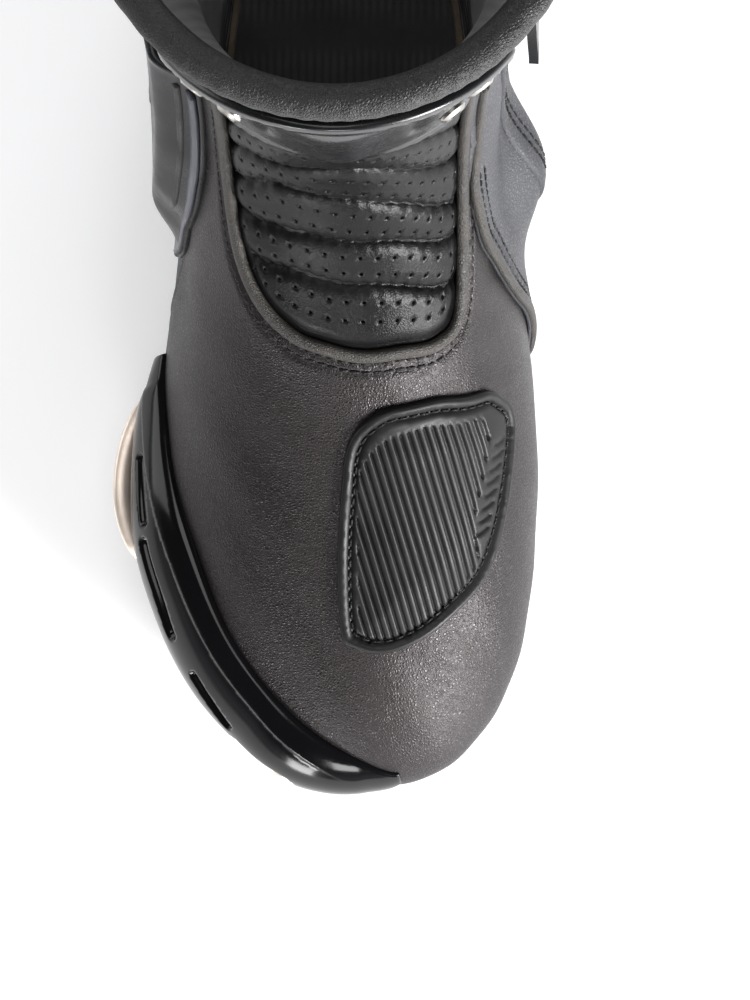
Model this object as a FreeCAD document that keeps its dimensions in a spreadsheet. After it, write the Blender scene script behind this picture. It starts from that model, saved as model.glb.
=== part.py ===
import FreeCAD
import Part

import math
import os

from FreeCAD import Placement, Rotation, Vector

# A right riding boot, size EU 43, in millimetres.
# Frame: +Z up from the ground, the toe points to -Y, the inner (medial) side is +X and the outer (lateral) side
# is -X. The origin is on the ground under the middle of the boot.
#
# The upper is one smooth form. It is a stack of rings, from the feather line where the upper meets the sole to
# the rim of the shaft. A place on the form has two coordinates:
#   v  round the boot: 0 at the front, 7 at the back, positive on the medial side, negative on the lateral side
#   t  up the boot: 0 at the feather line, 9 at the rim, and a whole number at each ring
# Every leather, foam and moulded panel is a slab of that form between two offsets from the outer skin.

doc = FreeCAD.newDocument("riding_boot")
sheet = doc.addObject("Spreadsheet::Sheet", "sizes")

# ---------------------------------------------------------------- driving dimensions

SIZES = {
    # thicknesses and gaps
    "leather": 1.8,
    "layer_gap": 0.2,
    "stiffener": 1.2,
    "lining": 2.2,
    "shell_gap": 0.3,
    "shell_thickness": 2.6,
    # sole
    "outsole_margin": 0.8,
    "midsole_margin": 0.5,
    "board_inset": 2.4,
    "board_thickness": 2.0,
    "footbed_inset": 6.4,
    "footbed_thickness": 4.0,
    "tread_pitch": 12.5,
    "tread_groove": 3.2,
    "tread_depth": 3.0,
    "shank_length": 105.0,
    "shank_width": 18.0,
    "shank_thickness": 1.5,
    # ankle hinge
    "pivot_y": 72.0,
    "pivot_z": 116.0,
    "cup_x": 44.6,
    "cup_radius": 23.0,
    "cup_thickness": 2.4,
    "eye_gap": 0.2,
    "eye_thickness": 3.0,
    "arm_thickness": 2.5,
    "arm_inset": 0.25,
    "eye_radius": 13.0,
    "pin_radius": 4.0,
    "pin_play": 0.06,
    "pin_head_radius": 8.0,
    "pin_head": 1.8,
    # screws
    "screw_radius": 1.9,
    "screw_head_radius": 3.6,
    "screw_head": 1.5,
    "screw_grip": 3.4,
    "rivet_grip": 2.5,
    "screw_socket": 1.6,
    # zip
    "zip_tape": 0.8,
    "zip_tape_width": 10.0,
    "zip_tape_lift": 0.3,
    "zip_seam": 0.5,
    "tooth_pitch": 2.4,
    "tooth_length": 1.6,
    "tooth_width": 2.4,
    "tooth_height": 2.2,
    "slider_length": 15.0,
    "slider_width": 9.0,
    "slider_plate": 1.2,
    "slider_web": 0.7,
    "bail_radius": 1.1,
    "bail_play": 0.06,
    "pull_length": 30.0,
    "pull_width": 7.0,
    "pull_thickness": 1.8,
    # trim
    "piping_radius": 1.5,
    "toe_plate_rise": 2.9,
    "ankle_bulge": 8.5,
    "collar_radius": 3.8,
    "pull_loop_width": 20.0,
    "pull_loop_strap": 1.8,
}

# Rings of the form: front point x, y, z; back point y, z; drop of the side below a straight line from front to
# back, greatest at the ball of the foot; then the half widths at six stations, lateral and medial.
RINGS = {
    "feather": (12, -149.5, 25, 148, 34, 11, 20, 42, 52, 42, 35, 20, 32, 48, 53, 41, 35, 20),
    "bulge": (13, -156.5, 37, 155, 46, 9, 24, 46, 57, 46, 39, 24, 37, 52, 57, 47, 39, 24),
    "toe": (11, -147, 52, 156, 60, 3, 15, 38, 51.5, 44, 38, 22, 28, 45, 53, 46, 38, 22),
    "vamp": (7, -116, 66, 153, 80, 0, 13, 31, 43, 41, 35, 20, 21, 35, 44, 43, 35, 20),
    "instep": (2, -62, 86, 147, 100, 0, 16, 29, 40, 41, 35, 18, 16, 29, 38, 40, 35, 18),
    "throat": (1, -24, 108, 143, 124, 0, 15, 28, 39, 42.5, 36, 18, 15, 28, 39, 42.5, 36, 18),
    "ankle": (0, 4, 136, 140, 152, 0, 15, 28, 40, 44, 36.5, 18, 15, 28, 40, 44, 36.5, 18),
    "shin": (0, 14, 182, 139, 190, 0, 17.3, 30.5, 42.7, 46.9, 39, 21, 17.3, 30.5, 42.7, 46.9, 39, 21),
    "calf": (0, 10, 250, 144, 245, 0, 19.5, 34.5, 48, 53, 44, 24, 19.5, 34.5, 48, 53, 44, 24),
    "rim": (0, 2, 322, 150, 300, 0, 21.7, 38.4, 53.5, 59, 49, 27, 21.7, 38.4, 53.5, 59, 49, 27),
}
QUANTITIES = ("front_x front_y front_z back_y back_z drop "
              "lat_tip lat_toe lat_ball lat_waist lat_heel lat_back "
              "med_tip med_toe med_ball med_waist med_heel med_back").split()
STATIONS = (0, 0.035, 0.12, 0.29, 0.53, 0.79, 0.95, 1)
DROP_SHARE = (0, 0.35, 0.7, 1, 0.75, 0.2, 0, 0)
TOP = len(RINGS) - 1
HALF_TURN = 7


def write_sheet():
    """Puts every driving dimension in a cell with an alias."""
    row = 1
    for alias, value in SIZES.items():
        sheet.set(f"A{row}", alias)
        sheet.set(f"B{row}", str(value))
        sheet.setAlias(f"B{row}", alias)
        row += 1
    for ring, values in RINGS.items():
        for quantity, value in zip(QUANTITIES, values):
            sheet.set(f"A{row}", f"{ring}_{quantity}")
            sheet.set(f"B{row}", str(value))
            sheet.setAlias(f"B{row}", f"{ring}_{quantity}")
            row += 1
    doc.recompute()


def size(alias):
    return float(sheet.get(alias))


write_sheet()

LEATHER = (-size("leather"), 0)
STIFF_TOP = -size("leather") - size("layer_gap")
STIFFENER = (STIFF_TOP - size("stiffener"), STIFF_TOP)
LINING_TOP = STIFFENER[0] - size("layer_gap")
LINING = (LINING_TOP - size("lining"), LINING_TOP)
SHELL = (size("shell_gap"), size("shell_gap") + size("shell_thickness"))

# ---------------------------------------------------------------- the form


def ring_poles(ring):
    """The fourteen control points of one ring, from the front round the medial side."""
    q = {name: size(f"{ring}_{name}") for name in QUANTITIES}
    sides = {
        1: [q["med_" + n] for n in ("tip", "toe", "ball", "waist", "heel", "back")],
        -1: [q["lat_" + n] for n in ("tip", "toe", "ball", "waist", "heel", "back")],
    }
    poles = []
    for k in range(2 * HALF_TURN):
        side = 1 if k <= HALF_TURN else -1
        station = k if side == 1 else 2 * HALF_TURN - k
        share = STATIONS[station]
        if station == 0:
            x = q["front_x"]
        elif station == HALF_TURN:
            x = 0
        else:
            x = side * sides[side][station - 1]
        y = q["front_y"] + share * (q["back_y"] - q["front_y"])
        z = q["front_z"] + share * (q["back_z"] - q["front_z"]) - q["drop"] * DROP_SHARE[station]
        poles.append(Vector(x, y, z))
    return poles


def form_net():
    """All rings, with one extra row past each end so that the surface starts and ends on a ring."""
    rows = [ring_poles(ring) for ring in RINGS]
    first = [a * 2 - b for a, b in zip(rows[0], rows[1])]
    last = [a * 2 - b for a, b in zip(rows[-1], rows[-2])]
    return [first] + rows + [last]


NET = form_net()


def spline_weights(f):
    """The uniform cubic B-spline's four weights."""
    return ((1 - f) ** 3 / 6, (3 * f**3 - 6 * f**2 + 4) / 6, (-3 * f**3 + 3 * f**2 + 3 * f + 1) / 6, f**3 / 6)


def form_point(v, t):
    column = math.floor(v)
    row = min(max(math.floor(t), 0), TOP - 1)
    across = spline_weights(v - column)
    up = spline_weights(t - row)
    point = Vector()
    for b in range(4):
        for a in range(4):
            point += NET[row + b][(column + a - 1) % (2 * HALF_TURN)] * (across[a] * up[b])
    return point


def form_normal(v, t):
    """The outward normal."""
    step = 0.002
    low, high = max(t - step, 0), min(t + step, TOP)
    across = form_point(v + step, t) - form_point(v - step, t)
    up = form_point(v, high) - form_point(v, low)
    return across.cross(up).normalize()


def skin(v, t, offset=0.0):
    """A point at an offset from the outer skin of the leather."""
    return form_point(v, t) + form_normal(v, t) * offset


# ---------------------------------------------------------------- slabs of the form


def through(points, a):
    """A smooth line through (v, t) points, at share a of its length in points."""
    place = min(max(a, 0), 1) * (len(points) - 1)
    i = min(int(place), len(points) - 2)
    f = place - i

    def at(k):
        if k < 0:
            return [2 * p - q for p, q in zip(points[0], points[1])]
        if k >= len(points):
            return [2 * p - q for p, q in zip(points[-1], points[-2])]
        return points[k]

    p0, p1, p2, p3 = at(i - 1), at(i), at(i + 1), at(i + 2)
    return [
        0.5 * (2 * q1 + (q2 - q0) * f + (2 * q0 - 5 * q1 + 4 * q2 - q3) * f**2 + (3 * q1 - q0 - 3 * q2 + q3) * f**3)
        for q0, q1, q2, q3 in zip(p0, p1, p2, p3)
    ]


class Patch:
    """A four-sided stretch of the form, between a low and a high edge, with optional shaped ends."""

    def __init__(self, low, high, start=None, end=None):
        self.low, self.high = low, high
        self.start = start or [low[0], high[0]]
        self.end = end or [low[-1], high[-1]]

    def __call__(self, a, b):
        low, high = through(self.low, a), through(self.high, a)
        start, end = through(self.start, b), through(self.end, b)
        corners = (self.low[0], self.low[-1], self.high[0], self.high[-1])
        return [
            (1 - b) * low[i] + b * high[i] + (1 - a) * start[i] + a * end[i]
            - (1 - a) * (1 - b) * corners[0][i] - a * (1 - b) * corners[1][i]
            - (1 - a) * b * corners[2][i] - a * b * corners[3][i]
            for i in (0, 1)
        ]


def band(v0, v1, t0, t1):
    """A plain patch between two longitudes and two heights."""
    return Patch([(v0, t0), (v1, t0)], [(v0, t1), (v1, t1)])


def surface_through(place, across, up):
    points = [[place(i / across, j / up) for j in range(up + 1)] for i in range(across + 1)]
    surface = Part.BSplineSurface()
    surface.interpolate(points)
    return surface


def border(surface):
    u0, u1, v0, v1 = surface.bounds()
    return [surface.uIso(u0), surface.uIso(u1), surface.vIso(v0), surface.vIso(v1)]


def closed_solid(faces):
    shell = Part.Shell(faces)
    shell.sewShape()
    solid = Part.Solid(shell)
    if solid.Volume < 0:
        solid = solid.reversed()
    return solid


def slab(patch, inner, outer, across=None, up=None):
    """The solid between two offsets of a patch. An offset is a number or a function of (a, b)."""
    corners = [patch(a, b) for a in (0, 1) for b in (0, 1)]
    spread_v = max(c[0] for c in corners) - min(c[0] for c in corners)
    spread_t = max(c[1] for c in corners) - min(c[1] for c in corners)
    across = across or max(4, math.ceil(3 * spread_v))
    up = up or max(4, math.ceil(3 * spread_t))

    def level(offset):
        def place(a, b):
            v, t = patch(a, b)
            return skin(v, t, offset(a, b) if callable(offset) else offset)

        return surface_through(place, across, up)

    out, back = level(outer), level(inner)
    sides = [Part.makeRuledSurface(p.toShape(), q.toShape()) for p, q in zip(border(out), border(back))]
    return closed_solid([out.toShape(), back.toShape()] + sides)


def piece(label, shape, place=None):
    """Adds a finished shape to the document as one sub-part."""
    feature = doc.addObject("Part::Feature", label)
    feature.Label = label
    feature.Shape = shape
    if place:
        feature.Placement = place
    NODES.append(feature)
    return feature


def node(feature, label):
    """Names a parametric object as one sub-part."""
    feature.Label = label
    NODES.append(feature)
    return feature


NODES = []

# ---------------------------------------------------------------- parametric bodies


def origin_plane(body, role):
    return next(f for f in body.Origin.OriginFeatures if f.Role == role)


def sketch_on(body, role, name, curves):
    sketch = body.newObject("Sketcher::SketchObject", name)
    sketch.AttachmentSupport = (origin_plane(body, role), [""])
    sketch.MapMode = "FlatFace"
    for curve in curves:
        sketch.addGeometry(curve, False)
    doc.recompute()
    return sketch


def polyline(points):
    """Closed straight outline as line segments, from (x, y) pairs."""
    corners = [Vector(x, y, 0) for x, y in points]
    return [Part.LineSegment(p, q) for p, q in zip(corners, corners[1:] + corners[:1])]


def spline_curve(points, closed=False):
    curve = Part.BSplineCurve()
    curve.interpolate(points, PeriodicFlag=closed)
    return curve


def pad(body, sketch, length, name, midplane=False):
    feature = body.newObject("PartDesign::Pad", name)
    feature.Profile = sketch
    if midplane:
        feature.SideType = "Symmetric"
    feature.setExpression("Length", length)
    doc.recompute()
    return feature


def revolve(body, sketch, axis_role, name):
    feature = body.newObject("PartDesign::Revolution", name)
    feature.Profile = sketch
    axis = next(f for f in body.Origin.OriginFeatures if f.Role == axis_role)
    feature.ReferenceAxis = (axis, [""])
    feature.Angle = 360
    doc.recompute()
    return feature


# ---------------------------------------------------------------- sole unit

SOLE_STATIONS = [HALF_TURN * k / 14 for k in range(15)]
TALL = "60 mm"
WIDE = "160 mm"


def plan_body(name, offset):
    """The sole's outline in plan, grown or shrunk by offset, padded upwards."""
    points = []
    for k in range(28):
        outward = form_normal(k / 2, 0)
        flat = Vector(outward.x, outward.y, 0).normalize()
        point = form_point(k / 2, 0) + flat * offset
        points.append(Vector(point.x, point.y, 0))
    body = doc.addObject("PartDesign::Body", name)
    sketch = sketch_on(body, "XY_Plane", name + "_outline", [spline_curve(points, closed=True)])
    pad(body, sketch, TALL, name + "_pad")
    return body


def side_body(name, bottom, top):
    """A side profile in the YZ plane, padded across the boot. bottom and top are curves from toe to heel."""
    body = doc.addObject("PartDesign::Body", name)
    ends = [
        Part.LineSegment(top.value(top.LastParameter), bottom[-1].value(bottom[-1].LastParameter)),
        Part.LineSegment(bottom[0].value(bottom[0].FirstParameter), top.value(top.FirstParameter)),
    ]
    sketch = sketch_on(body, "YZ_Plane", name + "_profile", [top] + bottom + ends)
    pad(body, sketch, WIDE, name + "_pad", midplane=True)
    return body


def profile_line(pairs, lift=0.0):
    """A smooth line through (y, z) pairs, lifted."""
    return spline_curve([Vector(y, z + lift, 0) for y, z in pairs])


def feather_pairs():
    """The feather line in side view, run on past the toe and the heel."""
    pairs = [(p.y, p.z) for p in (form_point(v, 0) for v in SOLE_STATIONS)]
    overhang = 8

    def run_on(end, before):
        slope = (end[1] - before[1]) / (end[0] - before[0])
        reach = overhang if end[0] > before[0] else -overhang
        return (end[0] + reach, end[1] + slope * reach)

    return [run_on(pairs[0], pairs[2])] + pairs + [run_on(pairs[-1], pairs[-3])]


FEATHER = feather_pairs()
TOE_END = FEATHER[0][0]
HEEL_END = FEATHER[-1][0]
HEEL_BREAST_Y = 44
ARCH_START_Y = 6
ARCH_TOP_Z = 8.5
SPLIT_LINE = [(TOE_END, 17), (-122, 9.6), (-90, 7.2), (-45, 7), (0, 8), (24, 13.5), (48, 16.5), (100, 17), (HEEL_END, 18)]


def common(label, base, tool):
    feature = doc.addObject("Part::Common", label)
    feature.Base, feature.Tool = base, tool
    return feature


def cut(label, base, tool):
    feature = doc.addObject("Part::Cut", label)
    feature.Base, feature.Tool = base, tool
    return feature


def tread_grooves():
    """V-shaped grooves across the forefoot and the heel, each made of two slanted bars that cross in the middle."""
    grooves = []
    reach = 72
    overlap = 2
    starts = [(-112, -14), (54, 142)]
    for start, stop in starts:
        count = int((stop - start) / size("tread_pitch")) + 1
        for k in range(count):
            y = start + k * size("tread_pitch")
            for side in (-1, 1):
                groove = doc.addObject("Part::Box", "groove")
                groove.setExpression("Width", "sizes.tread_groove")
                groove.setExpression("Height", "sizes.tread_depth + 1")
                groove.Length = reach
                spin = Rotation(Vector(0, 0, 1), 12 if side > 0 else 168)
                start_y = y if side > 0 else y + size("tread_groove") + 0.4
                groove.Placement = Placement(Vector(-side * overlap, start_y, -1), spin)
                grooves.append(groove)
    group = doc.addObject("Part::MultiFuse", "tread_grooves")
    group.Shapes = grooves
    return group


def make_sole():
    ground = [
        spline_curve([Vector(TOE_END, 13.5, 0), Vector(-135, 5.6, 0), Vector(-115, 1.2, 0), Vector(-98, 0, 0)]),
        Part.LineSegment(Vector(-98, 0, 0), Vector(ARCH_START_Y, 0, 0)),
        spline_curve([Vector(ARCH_START_Y, 0, 0), Vector(15, 4.4, 0), Vector(26, 7.3, 0), Vector(36, ARCH_TOP_Z, 0),
                      Vector(HEEL_BREAST_Y, ARCH_TOP_Z, 0)]),
        Part.LineSegment(Vector(HEEL_BREAST_Y, ARCH_TOP_Z, 0), Vector(HEEL_BREAST_Y + 4, 0, 0)),
        Part.LineSegment(Vector(HEEL_BREAST_Y + 4, 0, 0), Vector(HEEL_END, 0, 0)),
    ]
    outer_plan = plan_body("outsole_plan", size("outsole_margin"))
    tread = common("outsole_block", outer_plan, side_body("outsole_side", ground, profile_line(SPLIT_LINE)))
    doc.recompute()
    node(cut("outsole_cut", tread, tread_grooves()), "outsole")

    mid_plan = plan_body("midsole_plan", size("midsole_margin"))
    mid_side = side_body("midsole_side", [profile_line(SPLIT_LINE, 0.1)], profile_line(FEATHER, -0.3))
    block = common("midsole_block", mid_plan, mid_side)
    node(cut("midsole_cut", block, shank_body("shank_pocket", 0.15)), "midsole")
    node(shank_body("shank_plate", 0.0), "shank")

    board_plan = plan_body("board_plan", -size("board_inset"))
    board_side = side_body("board_side", [profile_line(FEATHER, -0.1)],
                           profile_line(FEATHER, size("board_thickness") - 0.1))
    node(common("board", board_plan, board_side), "insole_board")
    bed_plan = plan_body("footbed_plan", -size("footbed_inset"))
    bed_low = size("board_thickness") + 0.1
    bed_side = side_body("footbed_side", [profile_line(FEATHER, bed_low)],
                         profile_line(FEATHER, bed_low + size("footbed_thickness")))
    node(common("bed", bed_plan, bed_side), "footbed")


def shank_body(name, play):
    """The stiffening plate under the arch, or the pocket for it, which is larger by the play."""
    body = doc.addObject("PartDesign::Body", name)
    half = size("shank_length") / 2 + play
    width = size("shank_width") / 2 + play
    straight = half - width
    outline = [
        Part.LineSegment(Vector(width, -straight, 0), Vector(width, straight, 0)),
        Part.Arc(Vector(width, straight, 0), Vector(0, half, 0), Vector(-width, straight, 0)),
        Part.LineSegment(Vector(-width, straight, 0), Vector(-width, -straight, 0)),
        Part.Arc(Vector(-width, -straight, 0), Vector(0, -half, 0), Vector(width, -straight, 0)),
    ]
    sketch = sketch_on(body, "XY_Plane", name + "_outline", outline)
    feature = pad(body, sketch, "sizes.shank_thickness", name + "_pad", midplane=True)
    if play:
        feature.setExpression("Length", f"sizes.shank_thickness + {2 * play}")
    middle_y, rise = 18, 5.5
    middle_z = 18.4
    body.Placement = Placement(Vector(0, middle_y, middle_z), Rotation(Vector(1, 0, 0), rise))
    doc.recompute()
    return body


def smooth_step(x, low, high):
    s = min(max((x - low) / (high - low), 0), 1)
    return s * s * (3 - 2 * s)


# ---------------------------------------------------------------- soft upper

# Seams of the upper, as (v, t) lines.
VAMP_TOP = [(-3.6, 4.5), (-2.5, 4.7), (-1.95, 4.8), (-1.45, 4.72), (-0.9, 4.68), (-0.3, 4.69), (0.75, 4.59),
            (1.5, 4.37), (1.95, 4.25), (2.35, 4.35), (2.6, 4.5)]
ARCH_FOLD = [(3.4, 0), (3.46, 0.85), (3.5, 1.66), (3.44, 2.36), (3.24, 3.17), (2.93, 3.88), (2.6, 4.5)]
THROAT = [(-1.75, 5.0), (-1.45, 4.83), (-0.9, 4.79), (-0.3, 4.8), (0.75, 4.7), (1.5, 4.48), (1.9, 4.41)]
PIPING = [(-2.14, 6.3), (-2.1, 5.5), (-2.0, 5.1), (-1.82, 4.87), (-1.45, 4.755), (-0.85, 4.725), (-0.2, 4.73),
          (0.85, 4.61), (1.65, 4.37), (2.03, 4.27), (2.18, 4.38), (2.22, 4.78), (2.18, 5.5), (2.17, 6.3)]
ZIP_V = 5.2
ZIP_SLIT = (4.87, 5.53)
SEAM = 0.02


def shifted(points, dv, dt=0.0):
    return [(v + dv, t + dt) for v, t in points]


def make_foot_leather():
    vamp = Patch([(-3.6, 0), (ARCH_FOLD[0][0], 0)], VAMP_TOP, end=ARCH_FOLD)
    piece("vamp", slab(vamp, *LEATHER, across=38, up=24))
    fold = shifted(ARCH_FOLD, SEAM + 0.01)
    top = [fold[-1], (3.4, 4.66), (4.2, 4.72), (5.5, 4.62), (6.98, 4.6)]
    quarter = Patch([fold[0], (6.98, 0)], top, start=fold)
    piece("quarter_medial", slab(quarter, LEATHER[0], lambda a, b: ankle_bulge(*quarter(a, b)), across=24, up=22))
    top = [(-6.98, 4.6), (-5.5, 4.62), (-4.2, 4.72), (-3.6 - SEAM, 4.5)]
    piece("quarter_lateral", slab(Patch([(-6.98, 0), (-3.6 - SEAM, 0)], top), *LEATHER, across=20, up=22))


def ankle_bulge(v, t):
    """The padding in front of the medial ankle bone: how far it lifts the leather there."""
    point = form_point(v, t)
    along = smooth_step(point.y, -10, 12) * (1 - smooth_step(point.y, 28, 50))
    edge = smooth_step(v, 3.45, 4.0)
    return size("ankle_bulge") * along * edge * math.exp(-(((point.z - 80) / 22) ** 2))


def make_flexing_leather():
    """The pieces that bend at the ankle: two side gaiters and two accordion panels, with the lining sock."""
    front = Patch(THROAT, [(-2.0, 6.33), (0, 6.48), (2.05, 6.33)])
    piece("instep_accordion", slab(front, *LEATHER, across=14, up=10))
    back = Patch([(5.62, 4.68), (7, 4.68), (8.38, 4.68)], [(5.62, 5.74), (7, 6.05), (8.38, 5.74)])
    piece("achilles_accordion", slab(back, *LEATHER, across=10))
    low = [(-5.58, 4.72), (-4.2, 4.84), (-3.6, 4.68), (-2.6, 4.82), (-2.1, 4.9), (-1.86, 5.0)]
    high = [(-5.58, 5.66), (-4.2, 5.26), (-3.2, 5.74), (-2.45, 6.14), (-2.08, 6.32)]
    piece("ankle_gaiter_lateral", slab(Patch(low, high), *LEATHER, across=20, up=12))
    low = [(2.03, 4.46), (2.35, 4.52), (2.65, 4.65), (3.4, 4.8), (4.2, 4.84), (5.58, 4.72)]
    high = [(2.13, 6.32), (2.45, 6.14), (3.2, 5.74), (4.2, 5.26), (5.58, 5.66)]
    gaiter = Patch(low, high)
    piece("ankle_gaiter_medial", slab(gaiter, LEATHER[0], lambda a, b: ankle_bulge(*gaiter(a, b)), across=20, up=12))


def make_shaft_leather():
    top = 8.92
    low = [(-2.4, 6.28), (-1.8, 6.5), (0, 6.62), (1.8, 6.5), (2.4, 6.28)]
    piece("shaft_front", slab(Patch(low, [(-2.4, top), (2.4, top)]), *LEATHER, across=14))
    low = [(-6.98, 6.15), (-5.6, 5.82), (-4.2, 5.4), (-3.2, 5.88), (-2.4 - SEAM, 6.27)]
    piece("shaft_lateral", slab(Patch(low, [(-6.98, top), (-2.4 - SEAM, top)]), *LEATHER, across=14))
    low = [(2.4 + SEAM, 6.27), (3.2, 5.88), (4.2, 5.4), (ZIP_SLIT[0], 5.62)]
    piece("shaft_medial", slab(Patch(low, [(2.4 + SEAM, top), (ZIP_SLIT[0], top)]), *LEATHER, across=10))
    low = [(ZIP_SLIT[1], 5.8), (6.98, 6.15)]
    piece("shaft_rear", slab(Patch(low, [(ZIP_SLIT[1], top), (6.98, top)]), *LEATHER, across=6))


def lining_wire(t, offset):
    points = [skin(k / 2, t, offset) for k in range(28)]
    return Part.Wire(spline_curve(points, closed=True).toShape())


def make_lining():
    """The fabric sock, one closed tube with two rims."""
    heights = [0.2, 0.6, 1, 1.5, 2, 2.5, 3, 3.5, 4, 4.5, 5, 5.5, 6, 6.5, 7, 7.5, 8, 8.5, 8.91]
    rings = [[lining_wire(t, offset) for t in heights] for offset in LINING]
    walls = [Part.makeLoft(wires, False) for wires in rings]
    rims = [Part.makeRuledSurface(rings[0][k], rings[1][k]) for k in (0, -1)]
    piece("lining_sock", closed_solid([f for part in walls + rims for f in part.Faces]))


def make_stiffeners():
    toe = Patch([(-2.6, 0.3), (2.6, 0.3)], [(-2.4, 1.9), (-1.2, 2.9), (0, 3.1), (1.2, 2.9), (2.4, 1.9)])
    piece("toe_puff", slab(toe, *STIFFENER, across=30, up=18))
    heel = Patch([(4.6, 0.25), (9.4, 0.25)], [(4.6, 2.6), (5.6, 3.3), (7, 3.5), (8.4, 3.3), (9.4, 2.6)])
    piece("heel_counter", slab(heel, *STIFFENER, across=26, up=18))
    for name, side in (("lateral", -1), ("medial", 1)):
        ends = sorted((3.3 * side, 4.9 * side))
        pad_patch = band(ends[0], ends[1], 3.9, 5.15)
        piece("ankle_pad_" + name, slab(pad_patch, *STIFFENER))
    piece("shin_pad", slab(band(-2.1, 2.1, 6.7, 8.7), *STIFFENER))
    piece("zip_gusset", slab(band(ZIP_SLIT[0] - 0.2, ZIP_SLIT[1] + 0.2, 5.9, 8.85), *STIFFENER))


def tube_along(points, radius):
    """A round tube swept through points."""
    line = spline_curve(points)
    start = line.FirstParameter
    ring = Part.Wire([Part.makeCircle(radius, line.value(start), line.tangent(start)[0])])
    return Part.Wire(line.toShape()).makePipeShell([ring], True, False)


def make_piping():
    radius = size("piping_radius")
    line = [through(PIPING, k / 39) for k in range(40)]
    piece("instep_piping", tube_along([skin(v, t, radius + 0.25) for v, t in line], radius))


def make_collar():
    """A padded roll round the rim."""
    radius = size("collar_radius")
    rings = []
    count = 28
    for k in range(count):
        v = 2 * HALF_TURN * k / count
        centre = skin(v, TOP, (LEATHER[1] + LINING[0]) / 2)
        tangent = form_point(v + 0.01, TOP) - form_point(v - 0.01, TOP)
        rings.append(Part.Wire([Part.makeCircle(radius, centre, tangent.normalize())]))
    piece("collar_roll", Part.makeLoft(rings, True, False, True))


def make_shift_pad():
    """The moulded rubber pad over the big toe, where the shift lever is lifted."""
    low = [(-0.2, 2.92), (0.3, 2.88), (0.9, 2.79), (1.5, 2.62), (2.0, 2.36)]
    high = [(0.1, 4.2), (0.7, 4.26), (1.64, 3.99), (2.4, 3.4), (2.98, 2.64)]
    start = [low[0], (-0.34, 3.2), (-0.2, 3.7), high[0]]
    end = [low[-1], (2.35, 2.22), (2.75, 2.32), high[-1]]
    rise = 1.7
    piece("shift_pad", slab(Patch(low, high, start, end), 0.15,
                            lambda a, b: 0.9 + rise * (16 * a * (1 - a) * b * (1 - b)) ** 0.3, across=14, up=14))


# ---------------------------------------------------------------- screws


def screw_body(name, grip):
    """A button-head screw, standing on z = 0 with its head up."""
    body = doc.addObject("PartDesign::Body", name)
    r, head_r = size("screw_radius"), size("screw_head_radius")
    head = size("screw_head")
    profile = polyline([(0, -grip), (r, -grip), (r, 0), (head_r, 0), (head_r, head * 0.45),
                        (head_r * 0.7, head), (0, head)])
    sketch = sketch_on(body, "XZ_Plane", name + "_profile", profile)
    revolve(body, sketch, "Z_Axis", name + "_turned")
    socket = sketch_on(body, "XY_Plane", name + "_socket", hexagon(size("screw_socket")))
    socket.AttachmentOffset = Placement(Vector(0, 0, head), Rotation())
    pocket = body.newObject("PartDesign::Pocket", name + "_pocket")
    pocket.Profile = socket
    pocket.setExpression("Length", "sizes.screw_head * 0.8")
    doc.recompute()
    return body


def hexagon(radius):
    return polyline([(radius * math.cos(math.radians(60 * k)), radius * math.sin(math.radians(60 * k)))
                     for k in range(6)])


def seated(v, t, offset):
    """The placement that stands a screw on the skin at an offset, head outwards."""
    return Placement(skin(v, t, offset), Rotation(Vector(0, 0, 1), form_normal(v, t)))


def screw_group(label, screw, seats):
    """Identical screws as one node of separate solids."""
    shapes = []
    for v, t, offset in seats:
        shape = screw.Shape.copy()
        shape.Placement = seated(v, t, offset).multiply(shape.Placement)
        shapes.append(shape)
    piece(label, Part.makeCompound(shapes))


def drilled(shape, seats, extra=0.0):
    """The shape with a clear hole for each screw."""
    radius = size("screw_radius") + 0.1 + extra
    for v, t, offset in seats:
        place = seated(v, t, offset)
        hole = Part.makeCylinder(radius, 24, Vector(0, 0, -12), Vector(0, 0, 1))
        hole.Placement = place
        shape = shape.cut(hole)
    return shape


def spotfaced(shape, seats):
    """The shape with a flat seat cut for each screw head."""
    for v, t, offset in seats:
        face = Part.makeCylinder(size("screw_head_radius") + 0.2, 8)
        face.Placement = seated(v, t, offset - 0.02)
        shape = shape.cut(face)
    return drilled(shape, seats)


# ---------------------------------------------------------------- moulded shells

TOE_FRAME = Patch(
    [(-3.45, 0.75), (-3.0, 0.3), (-2.2, 0.1), (-1.3, 0.1), (-0.6, 0.25), (-0.1, 0.8), (0.2, 1.3)],
    [(-3.42, 1.5), (-3.0, 1.92), (-2.4, 2.19), (-1.6, 2.16), (-0.9, 2.05), (-0.3, 1.88), (0.2, 1.6)],
)
# How far the frame stands off the skin, as (v, rise) along its middle.
FRAME_RISE = [(-3.45, 3.6), (-3.2, 7.6), (-2.7, 9.9), (-2.2, 8.2), (-1.6, 6.3), (-1.0, 5.0), (-0.6, 3.2), (-0.1, 1.3),
              (0.2, 0.9)]


def frame_rise(v):
    """The rise at a longitude, between the listed points."""
    for (v0, r0), (v1, r1) in zip(FRAME_RISE, FRAME_RISE[1:]):
        if v <= v1 or (v1, r1) == FRAME_RISE[-1]:
            return r0 + (r1 - r0) * smooth_step(v, v0, v1)


def frame_offset(a, b):
    """The outer face of the toe slider frame: thick in the middle, thin at its edges."""
    v, _ = TOE_FRAME(a, b)
    return 0.8 + (frame_rise(v) - 0.8) * math.sin(math.pi * b) ** 0.8


def plate_base(a, b):
    """The bottom of the slider plate, let into the frame."""
    v, _ = TOE_PLATE(a, b)
    return frame_rise(v) - 0.7


def plate_top(a, b):
    return plate_base(a, b) + 0.9 + size("toe_plate_rise") * (16 * a * (1 - a) * b * (1 - b)) ** 0.45


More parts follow.
